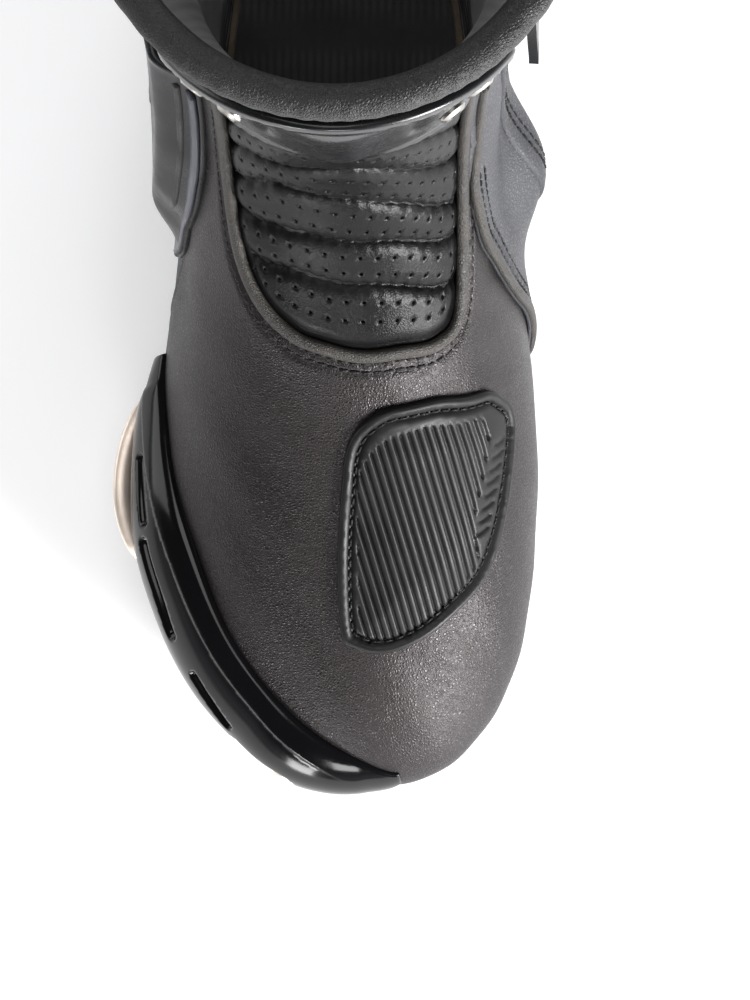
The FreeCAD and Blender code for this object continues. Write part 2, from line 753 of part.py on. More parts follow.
TOE_PLATE = Patch([(-3.28, 0.72), (-2.95, 0.5), (-2.5, 0.48)], [(-3.28, 1.08), (-2.95, 1.16), (-2.5, 1.12)])


def make_toe_slider(screw):
    """The frame round the outer forefoot, its metal wear plate and the three screws."""
    plate_seats = [(v, 0.84, frame_rise(v) + 1.5) for v in (-3.1, -2.66)]
    nose_seat = [(-0.84, 1.02, 3.75)]
    frame = slab(TOE_FRAME, 0.25, frame_offset, across=30, up=12)
    frame = spotfaced(frame, nose_seat)
    for v0, v1 in ((-2.3, -2.08), (-1.95, -1.72), (-1.5, -1.32)):
        window = slab(Patch([(v0, 0.75), (v1, 0.68)], [(v0, 1.28), (v1, 1.2)]), 2.6, 13.0)
        frame = frame.cut(window)
    seat = slab(TOE_PLATE, lambda a, b: plate_base(a, b) - 0.12, 16.0, across=12, up=8)
    frame = drilled(frame.cut(seat), plate_seats)
    plate = slab(TOE_PLATE, plate_base, plate_top, across=12, up=8)
    piece("toe_slider_frame", frame)
    piece("toe_slider_plate", spotfaced(plate, plate_seats))
    screw_group("toe_slider_screws", screw, plate_seats + nose_seat)


def heel_offset(a, b):
    return SHELL[1] + 1.2 * math.sin(math.pi * a) * math.sin(math.pi * b)


def make_heel(screw):
    low = [(4.7, 0.1), (5.4, 0.1), (6.2, 0.1), (7, 0.1), (7.8, 0.1), (8.6, 0.1), (9.3, 0.1)]
    high = [(4.5, 3.5), (5.1, 3.3), (6.0, 3.05), (7, 3.0), (8.0, 3.05), (8.9, 3.3), (9.5, 3.5)]
    seats = [(6.72, 1.9, SHELL[1] + 4.3), (7.28, 1.9, SHELL[1] + 4.3)]
    cup = slab(Patch(low, high), SHELL[0], heel_offset, across=20, up=10)
    slider_patch = Patch([(6.45, 1.2), (7, 1.15), (7.55, 1.2)], [(6.5, 2.3), (7, 2.45), (7.5, 2.3)])
    gap = SHELL[1] + 1.35
    slider = slab(slider_patch, gap, lambda a, b: gap + 0.8 + 2.4 * (16 * a * (1 - a) * b * (1 - b)) ** 0.4,
                  across=10, up=8)
    piece("heel_cup", drilled(cup, seats))
    piece("heel_slider", spotfaced(slider, seats))
    screw_group("heel_slider_screws", screw, seats)


def ridge_offset(a, b):
    """A shell with a raised middle rib."""
    return SHELL[1] + 2.2 * math.exp(-(((a - 0.5) / 0.16) ** 2)) * math.sin(math.pi * b) ** 0.5


def make_shaft_shells(screw):
    low = [(-1.9, 6.75), (0, 6.85), (1.9, 6.75)]
    high = [(-2.0, 8.5), (-1.0, 8.68), (0, 8.72), (1.0, 8.68), (2.0, 8.5)]
    seats = [(side * 1.5, t, SHELL[1] - 0.05) for side in (-1, 1) for t in (7.05, 8.35)]
    piece("shin_plate", spotfaced(slab(Patch(low, high), SHELL[0], ridge_offset, across=16, up=10), seats))
    screw_group("shin_plate_screws", screw, seats)
    low = [(6.0, 6.5), (7, 6.4), (8.0, 6.5)]
    high = [(6.1, 8.0), (7, 8.15), (7.9, 8.0)]
    seats = [(7 + side * 0.62, t, SHELL[1] - 0.05) for side in (-1, 1) for t in (6.75, 7.8)]
    piece("calf_plate", spotfaced(slab(Patch(low, high), SHELL[0], ridge_offset, across=12, up=8), seats))
    screw_group("calf_plate_screws", screw, seats)


# ---------------------------------------------------------------- ankle hinge


def cup_shape(side):
    """The moulded ankle cup, turned about the hinge axis, with a flat face for the brace's eye."""
    body = doc.addObject("PartDesign::Body", "ankle_cup" + ("_medial" if side > 0 else "_lateral"))
    x0, thick, r = size("cup_x"), size("cup_thickness"), size("cup_radius")
    flat = size("eye_radius") + 1.5
    bore = size("pin_radius")
    profile = polyline([(bore, x0), (r - 3, x0), (r, x0 - 0.9), (r, x0 + 0.4), (flat, x0 + thick), (bore, x0 + thick)])
    sketch = sketch_on(body, "XZ_Plane", body.Name + "_profile", profile)
    revolve(body, sketch, "Z_Axis", body.Name + "_turned")
    body.Placement = hinge_placement(side)
    return body


def hinge_placement(side):
    """Turns a part made about +Z so that +Z points outwards along the hinge axis."""
    turn = Rotation(Vector(0, 0, 1), Vector(side, 0, 0))
    return Placement(Vector(0, size("pivot_y"), size("pivot_z")), turn)


def pin_shape(side):
    """The hinge pin: pressed in the cup, with a head outside the brace's eye."""
    body = doc.addObject("PartDesign::Body", "pivot_pin" + ("_medial" if side > 0 else "_lateral"))
    x0 = size("cup_x") - 0.4
    face = size("cup_x") + size("cup_thickness") + 2 * size("eye_gap") + size("eye_thickness")
    r, head_r, head = size("pin_radius"), size("pin_head_radius"), size("pin_head")
    profile = polyline([(0, x0), (r, x0), (r, face), (head_r, face), (head_r, face + head * 0.5),
                        (head_r - 1.2, face + head), (3.2, face + head), (2.6, face + head - 0.7),
                        (0, face + head - 0.7)])
    sketch = sketch_on(body, "XZ_Plane", body.Name + "_profile", profile)
    revolve(body, sketch, "Z_Axis", body.Name + "_turned")
    body.Placement = hinge_placement(side)
    return body


def brace_offset(patch, extra):
    """The brace stands out to the hinge's face low down and lies on the shaft higher up."""
    face = size("cup_x") + size("cup_thickness") + size("eye_gap")

    def offset(a, b):
        v, t = patch(a, b)
        point, outward = form_point(v, t), form_normal(v, t)
        reach = (face - abs(point.x)) / max(abs(outward.x), 0.3)
        limit = 4.9 + 4.2 * (1 - smooth_step(t, 4.2, 5.4))
        low_part = max(min(reach, limit), SHELL[0])
        return low_part + (SHELL[0] - low_part) * smooth_step(t, 6.0, 7.0) + extra

    return offset


def brace(name, side, low, high, front, seats, screw):
    """A brace arm: a curved plate on the shaft, with a flat eye round the hinge pin."""
    patch = Patch(low, high, **front)
    inset, thick = size("arm_inset"), size("eye_thickness")
    outer = inset + size("arm_thickness")
    arm = slab(patch, brace_offset(patch, inset), brace_offset(patch, outer), across=16, up=16)
    face = size("cup_x") + size("cup_thickness") + size("eye_gap")
    eye = Part.makeCylinder(size("eye_radius"), thick, Vector(0, 0, face), Vector(0, 0, 1))
    room = Part.makeCylinder(size("cup_radius") + 1.5, 9, Vector(0, 0, face - 9), Vector(0, 0, 1))
    bore = Part.makeCylinder(size("pin_radius") + size("pin_play"), 40, Vector(0, 0, face - 20), Vector(0, 0, 1))
    head_room = Part.makeCylinder(size("pin_head_radius") + 0.4, 12, Vector(0, 0, face + thick), Vector(0, 0, 1))
    for tool in (eye, room, bore, head_room):
        tool.Placement = hinge_placement(side)
    shape = arm.fuse(eye).cut(room).cut(bore).cut(head_room)
    shape = spotfaced(shape, seats)
    solids = sorted(shape.Solids, key=lambda s: s.Volume)
    piece("ankle_brace_" + name, solids[-1])
    screw_group("brace_screws_" + name, screw, seats)


def make_ankle(screw):
    for side, name in ((-1, "lateral"), (1, "medial")):
        node(cup_shape(side), "ankle_cup_" + name)
        node(pin_shape(side), "pivot_pin_" + name)
    top = SHELL[0] + size("arm_inset") + size("arm_thickness") - 0.1
    low = [(-4.9, 4.92), (-4.5, 4.55), (-4.1, 4.42), (-3.7, 4.42), (-3.4, 4.6)]
    front = [low[-1], (-3.25, 5.2), (-3.15, 6.2), (-3.2, 7.3)]
    brace("lateral", -1, low, [(-4.8, 7.3), (-3.2, 7.3)], {"end": front}, [(-4.5, 7.1, top), (-3.5, 7.1, top)], screw)
    low = [(3.55, 4.75), (3.9, 4.5), (4.2, 4.42), (4.5, 4.55), (4.72, 4.85)]
    front = [low[0], (3.6, 5.5), (3.5, 6.3), (3.3, 7.3)]
    brace("medial", 1, low, [(3.3, 7.3), (4.6, 7.3)], {"start": front}, [(3.55, 7.1, top), (4.35, 7.1, top)], screw)


# ---------------------------------------------------------------- zip and closure


class ZipLine:
    """The straight line of the zip on the medial side, and its local frame: x sideways, y outwards, z up."""

    def __init__(self):
        low, high = form_point(ZIP_V, 6.05), form_point(ZIP_V, 8.2)
        self.up = (high - low).normalize()
        self.length = (high - low).Length
        middle = form_normal(ZIP_V, 7.1)
        self.out = (middle - self.up * middle.dot(self.up)).normalize()
        self.side = self.up.cross(self.out) * -1
        self.low = low
        reach = [(form_point(ZIP_V + dv, 6.05 + k * 0.1) - low).dot(self.out)
                 for k in range(23) for dv in (-0.4, -0.2, 0, 0.2, 0.4)]
        self.low = low + self.out * max(reach)

    def placement(self, along):
        matrix = FreeCAD.Matrix(self.side.x, self.out.x, self.up.x, 0,
                                self.side.y, self.out.y, self.up.y, 0,
                                self.side.z, self.out.z, self.up.z, 0,
                                0, 0, 0, 1)
        return Placement(self.low + self.up * along, Placement(matrix).Rotation)


ZIP = ZipLine()
SLIDER_REST = ZIP.length - 12


def placed_box(name, corner, lengths, place):
    """A Part::Box whose sides are expressions, at a corner in the zip's frame."""
    box = doc.addObject("Part::Box", name)
    for side, length in zip(("Length", "Width", "Height"), lengths):
        box.setExpression(side, length)
    box.Placement = place.multiply(Placement(Vector(*corner), Rotation()))
    return box


def make_zip():
    base = ZIP.placement(0)
    seam, tape = size("zip_seam"), size("zip_tape_width")
    lift = size("zip_tape_lift")
    sides = (("front", seam), ("rear", -seam - tape))
    for name, x in sides:
        box = placed_box("zip_tape_" + name, (x, lift, 0),
                         ("sizes.zip_tape_width", "sizes.zip_tape", f"{ZIP.length} mm"), base)
        node(box, "zip_tape_" + name)
    floor = lift + size("zip_tape") + 0.05
    count = int((ZIP.length - 8) / size("tooth_pitch"))
    for name, x in (("front", seam), ("rear", -seam - size("tooth_width"))):
        first = 3 + (size("tooth_pitch") / 2 if name == "rear" else 0)
        teeth = [Part.makeBox(size("tooth_width"), size("tooth_height"), size("tooth_length"),
                              Vector(x, floor, first + k * size("tooth_pitch"))) for k in range(count)]
        piece("zip_teeth_" + name, Part.makeCompound(teeth), base)
    stop_size = (size("tooth_width") + 0.2, size("tooth_height") + 0.4, 2.2)
    stops = [Part.makeBox(*stop_size, Vector(x, floor, z))
             for x in (seam, -seam - stop_size[0]) for z in (0.4, ZIP.length - 2.6)]
    piece("zip_stops", Part.makeCompound(stops), base)


def slider_shape():
    """The zip's slider: a back plate, a front plate with side walls, a thin web and a bail bar."""
    body = doc.addObject("PartDesign::Body", "zip_slider_body")
    half = size("slider_width") / 2
    plate = size("slider_plate")
    floor = size("zip_tape_lift") + size("zip_tape")
    teeth_top = floor + 0.05 + size("tooth_height")
    top = teeth_top + 0.25
    wall = size("zip_seam") + size("tooth_width") + 0.25
    web = size("slider_web") / 2
    back = size("zip_tape_lift") - 0.2
    section = polyline([
        (-web, back), (-half + 1, back), (-half + 1, back - plate), (half - 1, back - plate), (half - 1, back),
        (web, back), (web, top), (wall, top), (wall, floor + 0.2), (half, floor + 0.2), (half, top + plate * 0.6),
        (half - 1.2, top + plate), (-half + 1.2, top + plate), (-half, top + plate * 0.6), (-half, floor + 0.2),
        (-wall, floor + 0.2), (-wall, top), (-web, top)])
    sketch = sketch_on(body, "XY_Plane", "slider_section", section)
    pad(body, sketch, "sizes.slider_length", "slider_pad")
    return body, top + plate


def make_slider():
    body, face = slider_shape()
    bail_z, bail_lift = size("slider_length") * 0.62, 2.3
    shape = body.Shape.copy()
    half = size("slider_width") / 2
    for x in (-half + 0.6, half - 2.0):
        lug = Part.makeBox(1.4, bail_lift + 1.5, 4.4, Vector(x, face - 0.4, bail_z - 2.2))
        shape = shape.fuse(lug)
    bar = Part.makeCylinder(size("bail_radius"), 2 * half - 1.4, Vector(-half + 0.7, face + bail_lift, bail_z),
                            Vector(1, 0, 0))
    shape = shape.fuse(bar).removeSplitter()
    place = ZIP.placement(SLIDER_REST - size("slider_length"))
    piece("zip_slider", shape, place)
    make_pull(place.multiply(Placement(Vector(0, face + bail_lift, bail_z), Rotation())))


def make_pull(place):
    """The pull tab, with an eye round the bail bar, hanging down the zip."""
    width, length = size("pull_width"), size("pull_length")
    thick = size("pull_thickness")
    eye_width, eye_r = 4.6, 2.0
    neck = Part.makeBox(eye_width, thick, 6.5, Vector(-eye_width / 2, -thick / 2, -6.5))
    blade = doc.addObject("PartDesign::Body", "pull_blade")
    taper = 1.0
    outline = polyline([(-eye_width / 2, -5), (-width / 2, -8), (-width / 2 + taper, -length),
                        (width / 2 - taper, -length), (width / 2, -8), (eye_width / 2, -5)])
    sketch = sketch_on(blade, "XZ_Plane", "pull_outline", outline)
    pad(blade, sketch, "sizes.pull_thickness", "pull_pad", midplane=True)
    hole = sketch_on(blade, "XZ_Plane", "pull_hole", [Part.Circle(Vector(0, -length + 4.5, 0), Vector(0, 0, 1), 1.6)])
    pocket = blade.newObject("PartDesign::Pocket", "pull_pocket")
    pocket.Profile = hole
    pocket.Type = "ThroughAll"
    pocket.SideType = "Symmetric"
    doc.recompute()
    eye = Part.makeCylinder(eye_r, eye_width, Vector(-eye_width / 2, 0, 0), Vector(1, 0, 0))
    bore = Part.makeCylinder(size("bail_radius") + size("bail_play"), eye_width + 2,
                             Vector(-eye_width / 2 - 1, 0, 0), Vector(1, 0, 0))
    shape = blade.Shape.fuse(neck).fuse(eye).cut(bore).removeSplitter()
    piece("zip_pull", shape, place)


TAB_HINGE_V = 5.86
TAB_TIP_V = 3.55
TAB_LOW, TAB_HIGH = 8.26, 8.84
TAB_OFFSET = (2.3, 4.1)


def tab_hinge_line():
    """Two points on the line that the closure tab turns about."""
    return [skin(TAB_HINGE_V, t, TAB_OFFSET[0]) for t in (TAB_LOW, TAB_HIGH)]


def make_closure():
    """The hook-and-loop tab that closes the top of the shaft over the zip."""
    mid = (TAB_LOW + TAB_HIGH) / 2
    tip = [(TAB_TIP_V + 0.12, TAB_LOW), (TAB_TIP_V, mid), (TAB_TIP_V + 0.12, TAB_HIGH)]
    tab = Patch([tip[0], (TAB_HINGE_V, TAB_LOW)], [tip[-1], (TAB_HINGE_V, TAB_HIGH)], start=tip)
    piece("closure_tab", slab(tab, *TAB_OFFSET, across=10))
    inset = 0.06
    patch = band(TAB_TIP_V + 0.2, 4.55, TAB_LOW + inset, TAB_HIGH - inset)
    piece("tab_hook_patch", slab(patch, 1.35, TAB_OFFSET[0] - 0.05))
    piece("tab_loop_patch", slab(band(3.4, 4.75, TAB_LOW, TAB_HIGH), 0.15, 1.2))
    piece("tab_anchor", slab(band(5.93, 6.45, TAB_LOW, TAB_HIGH), 0.15, 2.4))


def make_pull_loop():
    """A webbing loop sewn to the back of the rim."""
    place = skin(HALF_TURN, 8.35, 0.4)
    strap = size("pull_loop_strap")
    height, depth = 34, 11.5
    r_out = depth / 2
    outer = [
        Part.LineSegment(Vector(0, 0, 0), Vector(0, height - r_out, 0)),
        Part.Arc(Vector(0, height - r_out, 0), Vector(r_out, height, 0), Vector(depth, height - r_out, 0)),
        Part.LineSegment(Vector(depth, height - r_out, 0), Vector(depth, 10, 0)),
        Part.LineSegment(Vector(depth, 10, 0), Vector(strap * 1.5, 0, 0)),
        Part.LineSegment(Vector(strap * 1.5, 0, 0), Vector(0, 0, 0)),
    ]
    inner = [
        Part.LineSegment(Vector(strap, 7, 0), Vector(strap, height - r_out, 0)),
        Part.Arc(Vector(strap, height - r_out, 0), Vector(r_out, height - strap, 0),
                 Vector(depth - strap, height - r_out, 0)),
        Part.LineSegment(Vector(depth - strap, height - r_out, 0), Vector(depth - strap, 10.8, 0)),
        Part.LineSegment(Vector(depth - strap, 10.8, 0), Vector(strap, 7, 0)),
    ]
    body = doc.addObject("PartDesign::Body", "pull_loop_body")
    sketch = sketch_on(body, "YZ_Plane", "loop_section", outer + inner)
    pad(body, sketch, "sizes.pull_loop_width", "loop_pad", midplane=True)
    lean = Rotation(Vector(1, 0, 0), -5)
    body.Placement = Placement(place, lean)
    node(body, "pull_loop")


# ---------------------------------------------------------------- build


def check_document():
    """Stops on any failed object or any sub-part without a valid solid."""
    doc.recompute()
    failed = [o.Label for o in doc.Objects if {"Invalid", "Error"} & set(o.State)]
    for feature in NODES:
        shape = feature.Shape
        if shape.isNull() or not shape.isValid() or not shape.Solids or shape.Volume <= 0:
            failed.append(feature.Label)
    if failed:
        raise RuntimeError("failed: " + ", ".join(failed))


def export_parts():
    os.makedirs("parts", exist_ok=True)
    for feature in NODES:
        shape = feature.Shape.copy()
        shape.exportStep(os.path.join("parts", feature.Label + ".step"))


def build():
    make_sole()
    make_foot_leather()
    make_flexing_leather()
    make_shaft_leather()
    make_lining()
    make_stiffeners()
    make_piping()
    make_collar()
    make_shift_pad()
    screw = screw_body("screw", size("screw_grip"))
    short_screw = screw_body("short_screw", size("rivet_grip"))
    make_toe_slider(screw)
    make_heel(screw)
    make_shaft_shells(short_screw)
    make_ankle(short_screw)
    make_zip()
    make_slider()
    make_closure()
    make_pull_loop()
    check_document()
    export_parts()


build()
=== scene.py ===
"""The looks of the riding boot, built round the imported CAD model.

The upper is one smooth form, the same one that the CAD uses. A place on it has two coordinates. v runs
round the boot, from 0 at the front to 7 at the back, and is positive on the inner (medial) side. t runs up
the boot, from 0 at the feather line to 9 at the rim. Leather panels, seams, bindings and shells are all laid
on that form, in millimetres.
"""

import math

import bpy
import numpy as np
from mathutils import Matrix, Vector, geometry, kdtree


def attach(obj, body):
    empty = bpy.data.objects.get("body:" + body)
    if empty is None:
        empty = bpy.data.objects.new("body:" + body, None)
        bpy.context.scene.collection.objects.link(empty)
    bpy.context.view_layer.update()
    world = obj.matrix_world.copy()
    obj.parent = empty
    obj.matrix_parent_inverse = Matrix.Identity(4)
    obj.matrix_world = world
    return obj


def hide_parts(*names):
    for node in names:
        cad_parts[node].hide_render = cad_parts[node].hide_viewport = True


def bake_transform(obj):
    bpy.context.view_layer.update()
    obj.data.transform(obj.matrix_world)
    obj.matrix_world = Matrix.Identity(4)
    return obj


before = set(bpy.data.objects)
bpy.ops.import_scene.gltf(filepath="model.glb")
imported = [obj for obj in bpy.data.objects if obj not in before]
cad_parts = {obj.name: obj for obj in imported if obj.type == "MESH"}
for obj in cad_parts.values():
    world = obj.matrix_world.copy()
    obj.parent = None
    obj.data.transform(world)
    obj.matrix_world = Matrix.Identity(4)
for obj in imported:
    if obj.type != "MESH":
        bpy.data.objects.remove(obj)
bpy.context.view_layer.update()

MM = 0.001
# Millimetres: the least gap between outline points, the lattice on a panel's back, a place far from any edge.
CLOSEST, BACK_STEP, FAR_FROM_EDGE = 0.12, 6.0, 9.0
HOLE_PITCH = 18  # quarter millimetres between the accordion's holes

# ---------------------------------------------------------------- the form

# Front point x, y, z; back point y, z; drop of the side; six half widths, lateral then medial.
RINGS = [
    (12, -149.5, 25, 148, 34, 11, 20, 42, 52, 42, 35, 20, 32, 48, 53, 41, 35, 20),
    (13, -156.5, 37, 155, 46, 9, 24, 46, 57, 46, 39, 24, 37, 52, 57, 47, 39, 24),
    (11, -147, 52, 156, 60, 3, 15, 38, 51.5, 44, 38, 22, 28, 45, 53, 46, 38, 22),
    (7, -116, 66, 153, 80, 0, 13, 31, 43, 41, 35, 20, 21, 35, 44, 43, 35, 20),
    (2, -62, 86, 147, 100, 0, 16, 29, 40, 41, 35, 18, 16, 29, 38, 40, 35, 18),
    (1, -24, 108, 143, 124, 0, 15, 28, 39, 42.5, 36, 18, 15, 28, 39, 42.5, 36, 18),
    (0, 4, 136, 140, 152, 0, 15, 28, 40, 44, 36.5, 18, 15, 28, 40, 44, 36.5, 18),
    (0, 14, 182, 139, 190, 0, 17.3, 30.5, 42.7, 46.9, 39, 21, 17.3, 30.5, 42.7, 46.9, 39, 21),
    (0, 10, 250, 144, 245, 0, 19.5, 34.5, 48, 53, 44, 24, 19.5, 34.5, 48, 53, 44, 24),
    (0, 2, 322, 150, 300, 0, 21.7, 38.4, 53.5, 59, 49, 27, 21.7, 38.4, 53.5, 59, 49, 27),
]
STATIONS = (0, 0.035, 0.12, 0.29, 0.53, 0.79, 0.95, 1)
DROP_SHARE = (0, 0.35, 0.7, 1, 0.75, 0.2, 0, 0)
TOP = len(RINGS) - 1
TURN = 14


def ring_poles(ring):
    """The control points of one ring, from the front round the medial side."""
    fx, fy, fz, by, bz, drop = ring[:6]
    lateral, medial = ring[6:12], ring[12:18]
    poles = []
    for k in range(TURN):
        station = min(k, TURN - k)
        share = STATIONS[station]
        x = fx if k == 0 else 0 if k == 7 else medial[station - 1] if k < 7 else -lateral[station - 1]
        poles.append((x, fy + share * (by - fy), fz + share * (bz - fz) - drop * DROP_SHARE[station]))
    return poles


def form_net():
    rows = np.array([ring_poles(r) for r in RINGS], float)
    return np.concatenate([2 * rows[:1] - rows[1:2], rows, 2 * rows[-1:] - rows[-2:-1]])


NET = form_net()


def spline_weights(f):
    return np.array([(1 - f) ** 3, 3 * f**3 - 6 * f**2 + 4, -3 * f**3 + 3 * f**2 + 3 * f + 1, f**3]) / 6


def form(v, t):
    """Points of the form."""
    v, t = np.broadcast_arrays(np.asarray(v, float), np.asarray(t, float))
    column = np.floor(v).astype(int)
    row = np.clip(np.floor(t).astype(int), 0, TOP - 1)
    across, up = spline_weights(v - column), spline_weights(t - row)
    points = np.zeros(v.shape + (3,))
    for b in range(4):
        for a in range(4):
            points += NET[row + b, (column + a - 1) % TURN] * (across[a] * up[b])[..., None]
    return points


def slopes(v, t, step=0.002):
    """How a point moves per unit of v and of t."""
    across = (form(v + step, t) - form(v - step, t)) / (2 * step)
    up = (form(v, t + step) - form(v, t - step)) / (2 * step)
    return across, up


def unit(a):
    return a / np.maximum(np.linalg.norm(a, axis=-1, keepdims=True), 1e-9)


def normal(v, t):
    across, up = slopes(v, t)
    return unit(np.cross(across, up))


def skin(v, t, height):
    """Points at a height above the skin."""
    return form(v, t) + normal(v, t) * np.asarray(height, float)[..., None]


# ---------------------------------------------------------------- lines on the form


def smooth_line(points, per_span=24):
    """A Catmull-Rom line through (v, t) points."""
    p = np.asarray(points, float)
    p = np.vstack([2 * p[0] - p[1], p, 2 * p[-1] - p[-2]])
    out = []
    for i in range(1, len(p) - 2):
        f = np.linspace(0, 1, per_span, endpoint=False)[:, None]
        a, b, c, d = p[i - 1], p[i], p[i + 1], p[i + 2]
        bend, twist = 2 * a - 5 * b + 4 * c - d, 3 * b - a - 3 * c + d
        out.append(0.5 * (2 * b + (c - a) * f + bend * f**2 + twist * f**3))
    return np.vstack(out + [p[-2:-1]])


def run_along(xyz):
    """The distance run at each point of a line in space."""
    return np.concatenate([[0], np.cumsum(np.linalg.norm(np.diff(xyz, axis=0), axis=1))])


def spaced(line, step):
    """The line resampled at even distances on the skin."""
    run = run_along(form(line[:, 0], line[:, 1]))
    count = max(2, int(round(run[-1] / step)))
    at = np.linspace(0, run[-1], count + 1)
    return np.column_stack([np.interp(at, run, line[:, 0]), np.interp(at, run, line[:, 1])])


def round_loop(points, step):
    """A smooth closed line through (v, t) points."""
    p = list(points)
    line = smooth_line(p[-2:] + p + p[:3])[2 * 24:-2 * 24]
    return spaced(line, step)[:-1]


def line_on(points, step=1.0):
    return spaced(smooth_line(points), step)


def closed_up(line):
    """The line with its first point again at its end."""
    return np.vstack([line, line[:1]])


def slide(across, up, push):
    """The step in (v, t) that moves a place on the skin by a push in millimetres."""
    a, b, c = (across**2).sum(1), (across * up).sum(1), (up**2).sum(1)
    p, q = (across * push).sum(1), (up * push).sum(1)
    det = a * c - b * b
    return np.column_stack([(c * p - b * q) / det, (a * q - b * p) / det])


def shifted(line, distance, closed=False):
    """The line moved to its left on the skin, as seen from outside, by a distance in millimetres."""
    xyz = form(line[:, 0], line[:, 1])
    if closed:
        tangent = np.roll(xyz, -1, axis=0) - np.roll(xyz, 1, axis=0)
    else:
        tangent = np.gradient(xyz, axis=0)
    across, up = slopes(line[:, 0], line[:, 1])
    return line + slide(across, up, unit(np.cross(np.cross(across, up), tangent)) * distance)


def loop_of(edges, step):
    """A closed outline, counter-clockwise from outside: an array, or smooth edges that meet at corners."""
    if isinstance(edges, np.ndarray):
        return edges
    return np.vstack([line_on(edge, step)[:-1] for edge in edges])


def inside(points, polygon):
    """Which 2-D points are inside a closed polygon."""
    x, y = points[:, 0][:, None], points[:, 1][:, None]
    x0, y0 = polygon[:, 0], polygon[:, 1]
    x1, y1 = np.roll(x0, -1), np.roll(y0, -1)
    hits = np.zeros(len(points), int)
    for start in range(0, len(points), 4000):
        part = slice(start, start + 4000)
        crosses = (y0 > y[part]) != (y1 > y[part])
        with np.errstate(divide="ignore", invalid="ignore"):
            at = (x1 - x0) * (y[part] - y0) / (y1 - y0) + x0
        hits[part] = (crosses & (x[part] < at)).sum(1)
    return hits % 2 == 1


def tree_of(xyz):
    tree = kdtree.KDTree(len(xyz))
    for i, p in enumerate(xyz):
        tree.insert(p, i)
    tree.balance()
    return tree


def reach(points, tree):
    """How far each point is from the nearest one in a tree."""
    return np.array([tree.find(p)[2] for p in points])


def distance_to(points, line, closed=False, step=0.12):
    """Distance in millimetres from points to a line on the skin."""
    return reach(points, tree_of(form(*spaced(closed_up(line) if closed else line, step).T)))


def smooth_step(x, low, high):
    s = np.clip((x - low) / (high - low), 0, 1)
    return s * s * (3 - 2 * s)


def groove(distance, width, depth):
    """A soft groove along a line."""
    return -depth * np.exp(-((distance / width) ** 2))


def arch(share):
    """A quarter round, from 0 to 1."""
    return np.sqrt(np.clip(1 - (1 - np.clip(share, 0, 1)) ** 2, 0, 1))


def rounded(edge, radius):
    """A quarter round down to the border."""
    return -radius * (1 - arch(edge / radius))


# ---------------------------------------------------------------- meshes


def make_object(name, vertices, faces, material, sharp=None):
    """A smooth-shaded mesh object from millimetres."""
    mesh = bpy.data.meshes.new(name)
    mesh.from_pydata((np.asarray(vertices) * MM).tolist(), [], [list(map(int, f)) for f in faces])
    mesh.validate()
    mesh.shade_smooth()
    if sharp:
        mesh.set_sharp_from_angle(angle=math.radians(sharp))
    mesh.materials.append(material)
    obj = bpy.data.objects.new(name, mesh)
    bpy.context.collection.objects.link(obj)
    return obj


class Chart:
    """Flattens a stretch of the form to millimetres, near enough for meshing."""

    def __init__(self, outline):
        low, high = outline.min(0) - 0.3, outline.max(0) + 0.3
        middle = (low + high) / 2
        self.v, self.t = np.linspace(low[0], high[0], 300), np.linspace(low[1], high[1], 300)
        self.u = run_along(form(self.v, middle[1]))
        self.w = run_along(form(middle[0], self.t))

    def flat(self, vt):
        return np.column_stack([np.interp(vt[:, 0], self.v, self.u), np.interp(vt[:, 1], self.t, self.w)])

    def lift(self, uw):
        return np.column_stack([np.interp(uw[:, 0], self.u, self.v), np.interp(uw[:, 1], self.w, self.t)])


def triangulate(chart, outline, extra):
    """Triangles inside a closed outline, through extra points.

    Returns (v, t) points, triangles and the border.
    """
    flat = chart.flat(np.vstack([outline, extra]) if len(extra) else outline)
    border = list(range(len(outline)))
    points, _, faces, origin, _, _ = geometry.delaunay_2d_cdt([tuple(p) for p in flat], [], [border], 1, 1e-5)
    points = np.array([tuple(p) for p in points])
    faces = np.array([f for f in faces if len(f) == 3])
    a, b, c = (points[faces[:, k]] for k in range(3))
    area = (b[:, 0] - a[:, 0]) * (c[:, 1] - a[:, 1]) - (b[:, 1] - a[:, 1]) * (c[:, 0] - a[:, 0])
    faces[area < 0] = faces[area < 0][:, ::-1]
    back = {}
    for i, sources in enumerate(origin):
        for s in sources:
            back[s] = i
    return chart.lift(points), faces, [back[i] for i in border if i in back]


class Spot:
    """What a height function may read at each vertex of a panel."""

    def __init__(self, vt, edge):
        self.v, self.t = vt[:, 0], vt[:, 1]
        self.xyz = form(self.v, self.t)
        self.x, self.y, self.z = self.xyz.T
        self.edge = edge

    def to(self, line, closed=False):
        return distance_to(self.xyz, line, closed)


def inset_rows(outline, radius, step):
    """Rows of vertices just inside an outline, so that its rounded border is smooth."""
    rows = []
    for d in (0.25 * radius, 0.6 * radius, 1.0 * radius, 1.0 * radius + 0.5 * step):
        row = shifted(outline, d, closed=True)
        away = distance_to(form(*row.T), outline, closed=True)
        rows.append(row[(np.abs(away - d) < 0.12 * d + 0.06) & inside(row, outline)])
    return rows


def lattice_in(chart, outline, across, up, stagger=0.0):
    """An even lattice of (v, t) points inside an outline."""
    flat = chart.flat(outline)
    low, high = flat.min(0), flat.max(0)
    u, w = np.meshgrid(np.arange(low[0], high[0], across), np.arange(low[1], high[1], up))
    u = u + (np.arange(len(u)) % 2)[:, None] * stagger
    grid = np.column_stack([u.ravel(), w.ravel()])
    return chart.lift(grid[inside(grid, flat)])


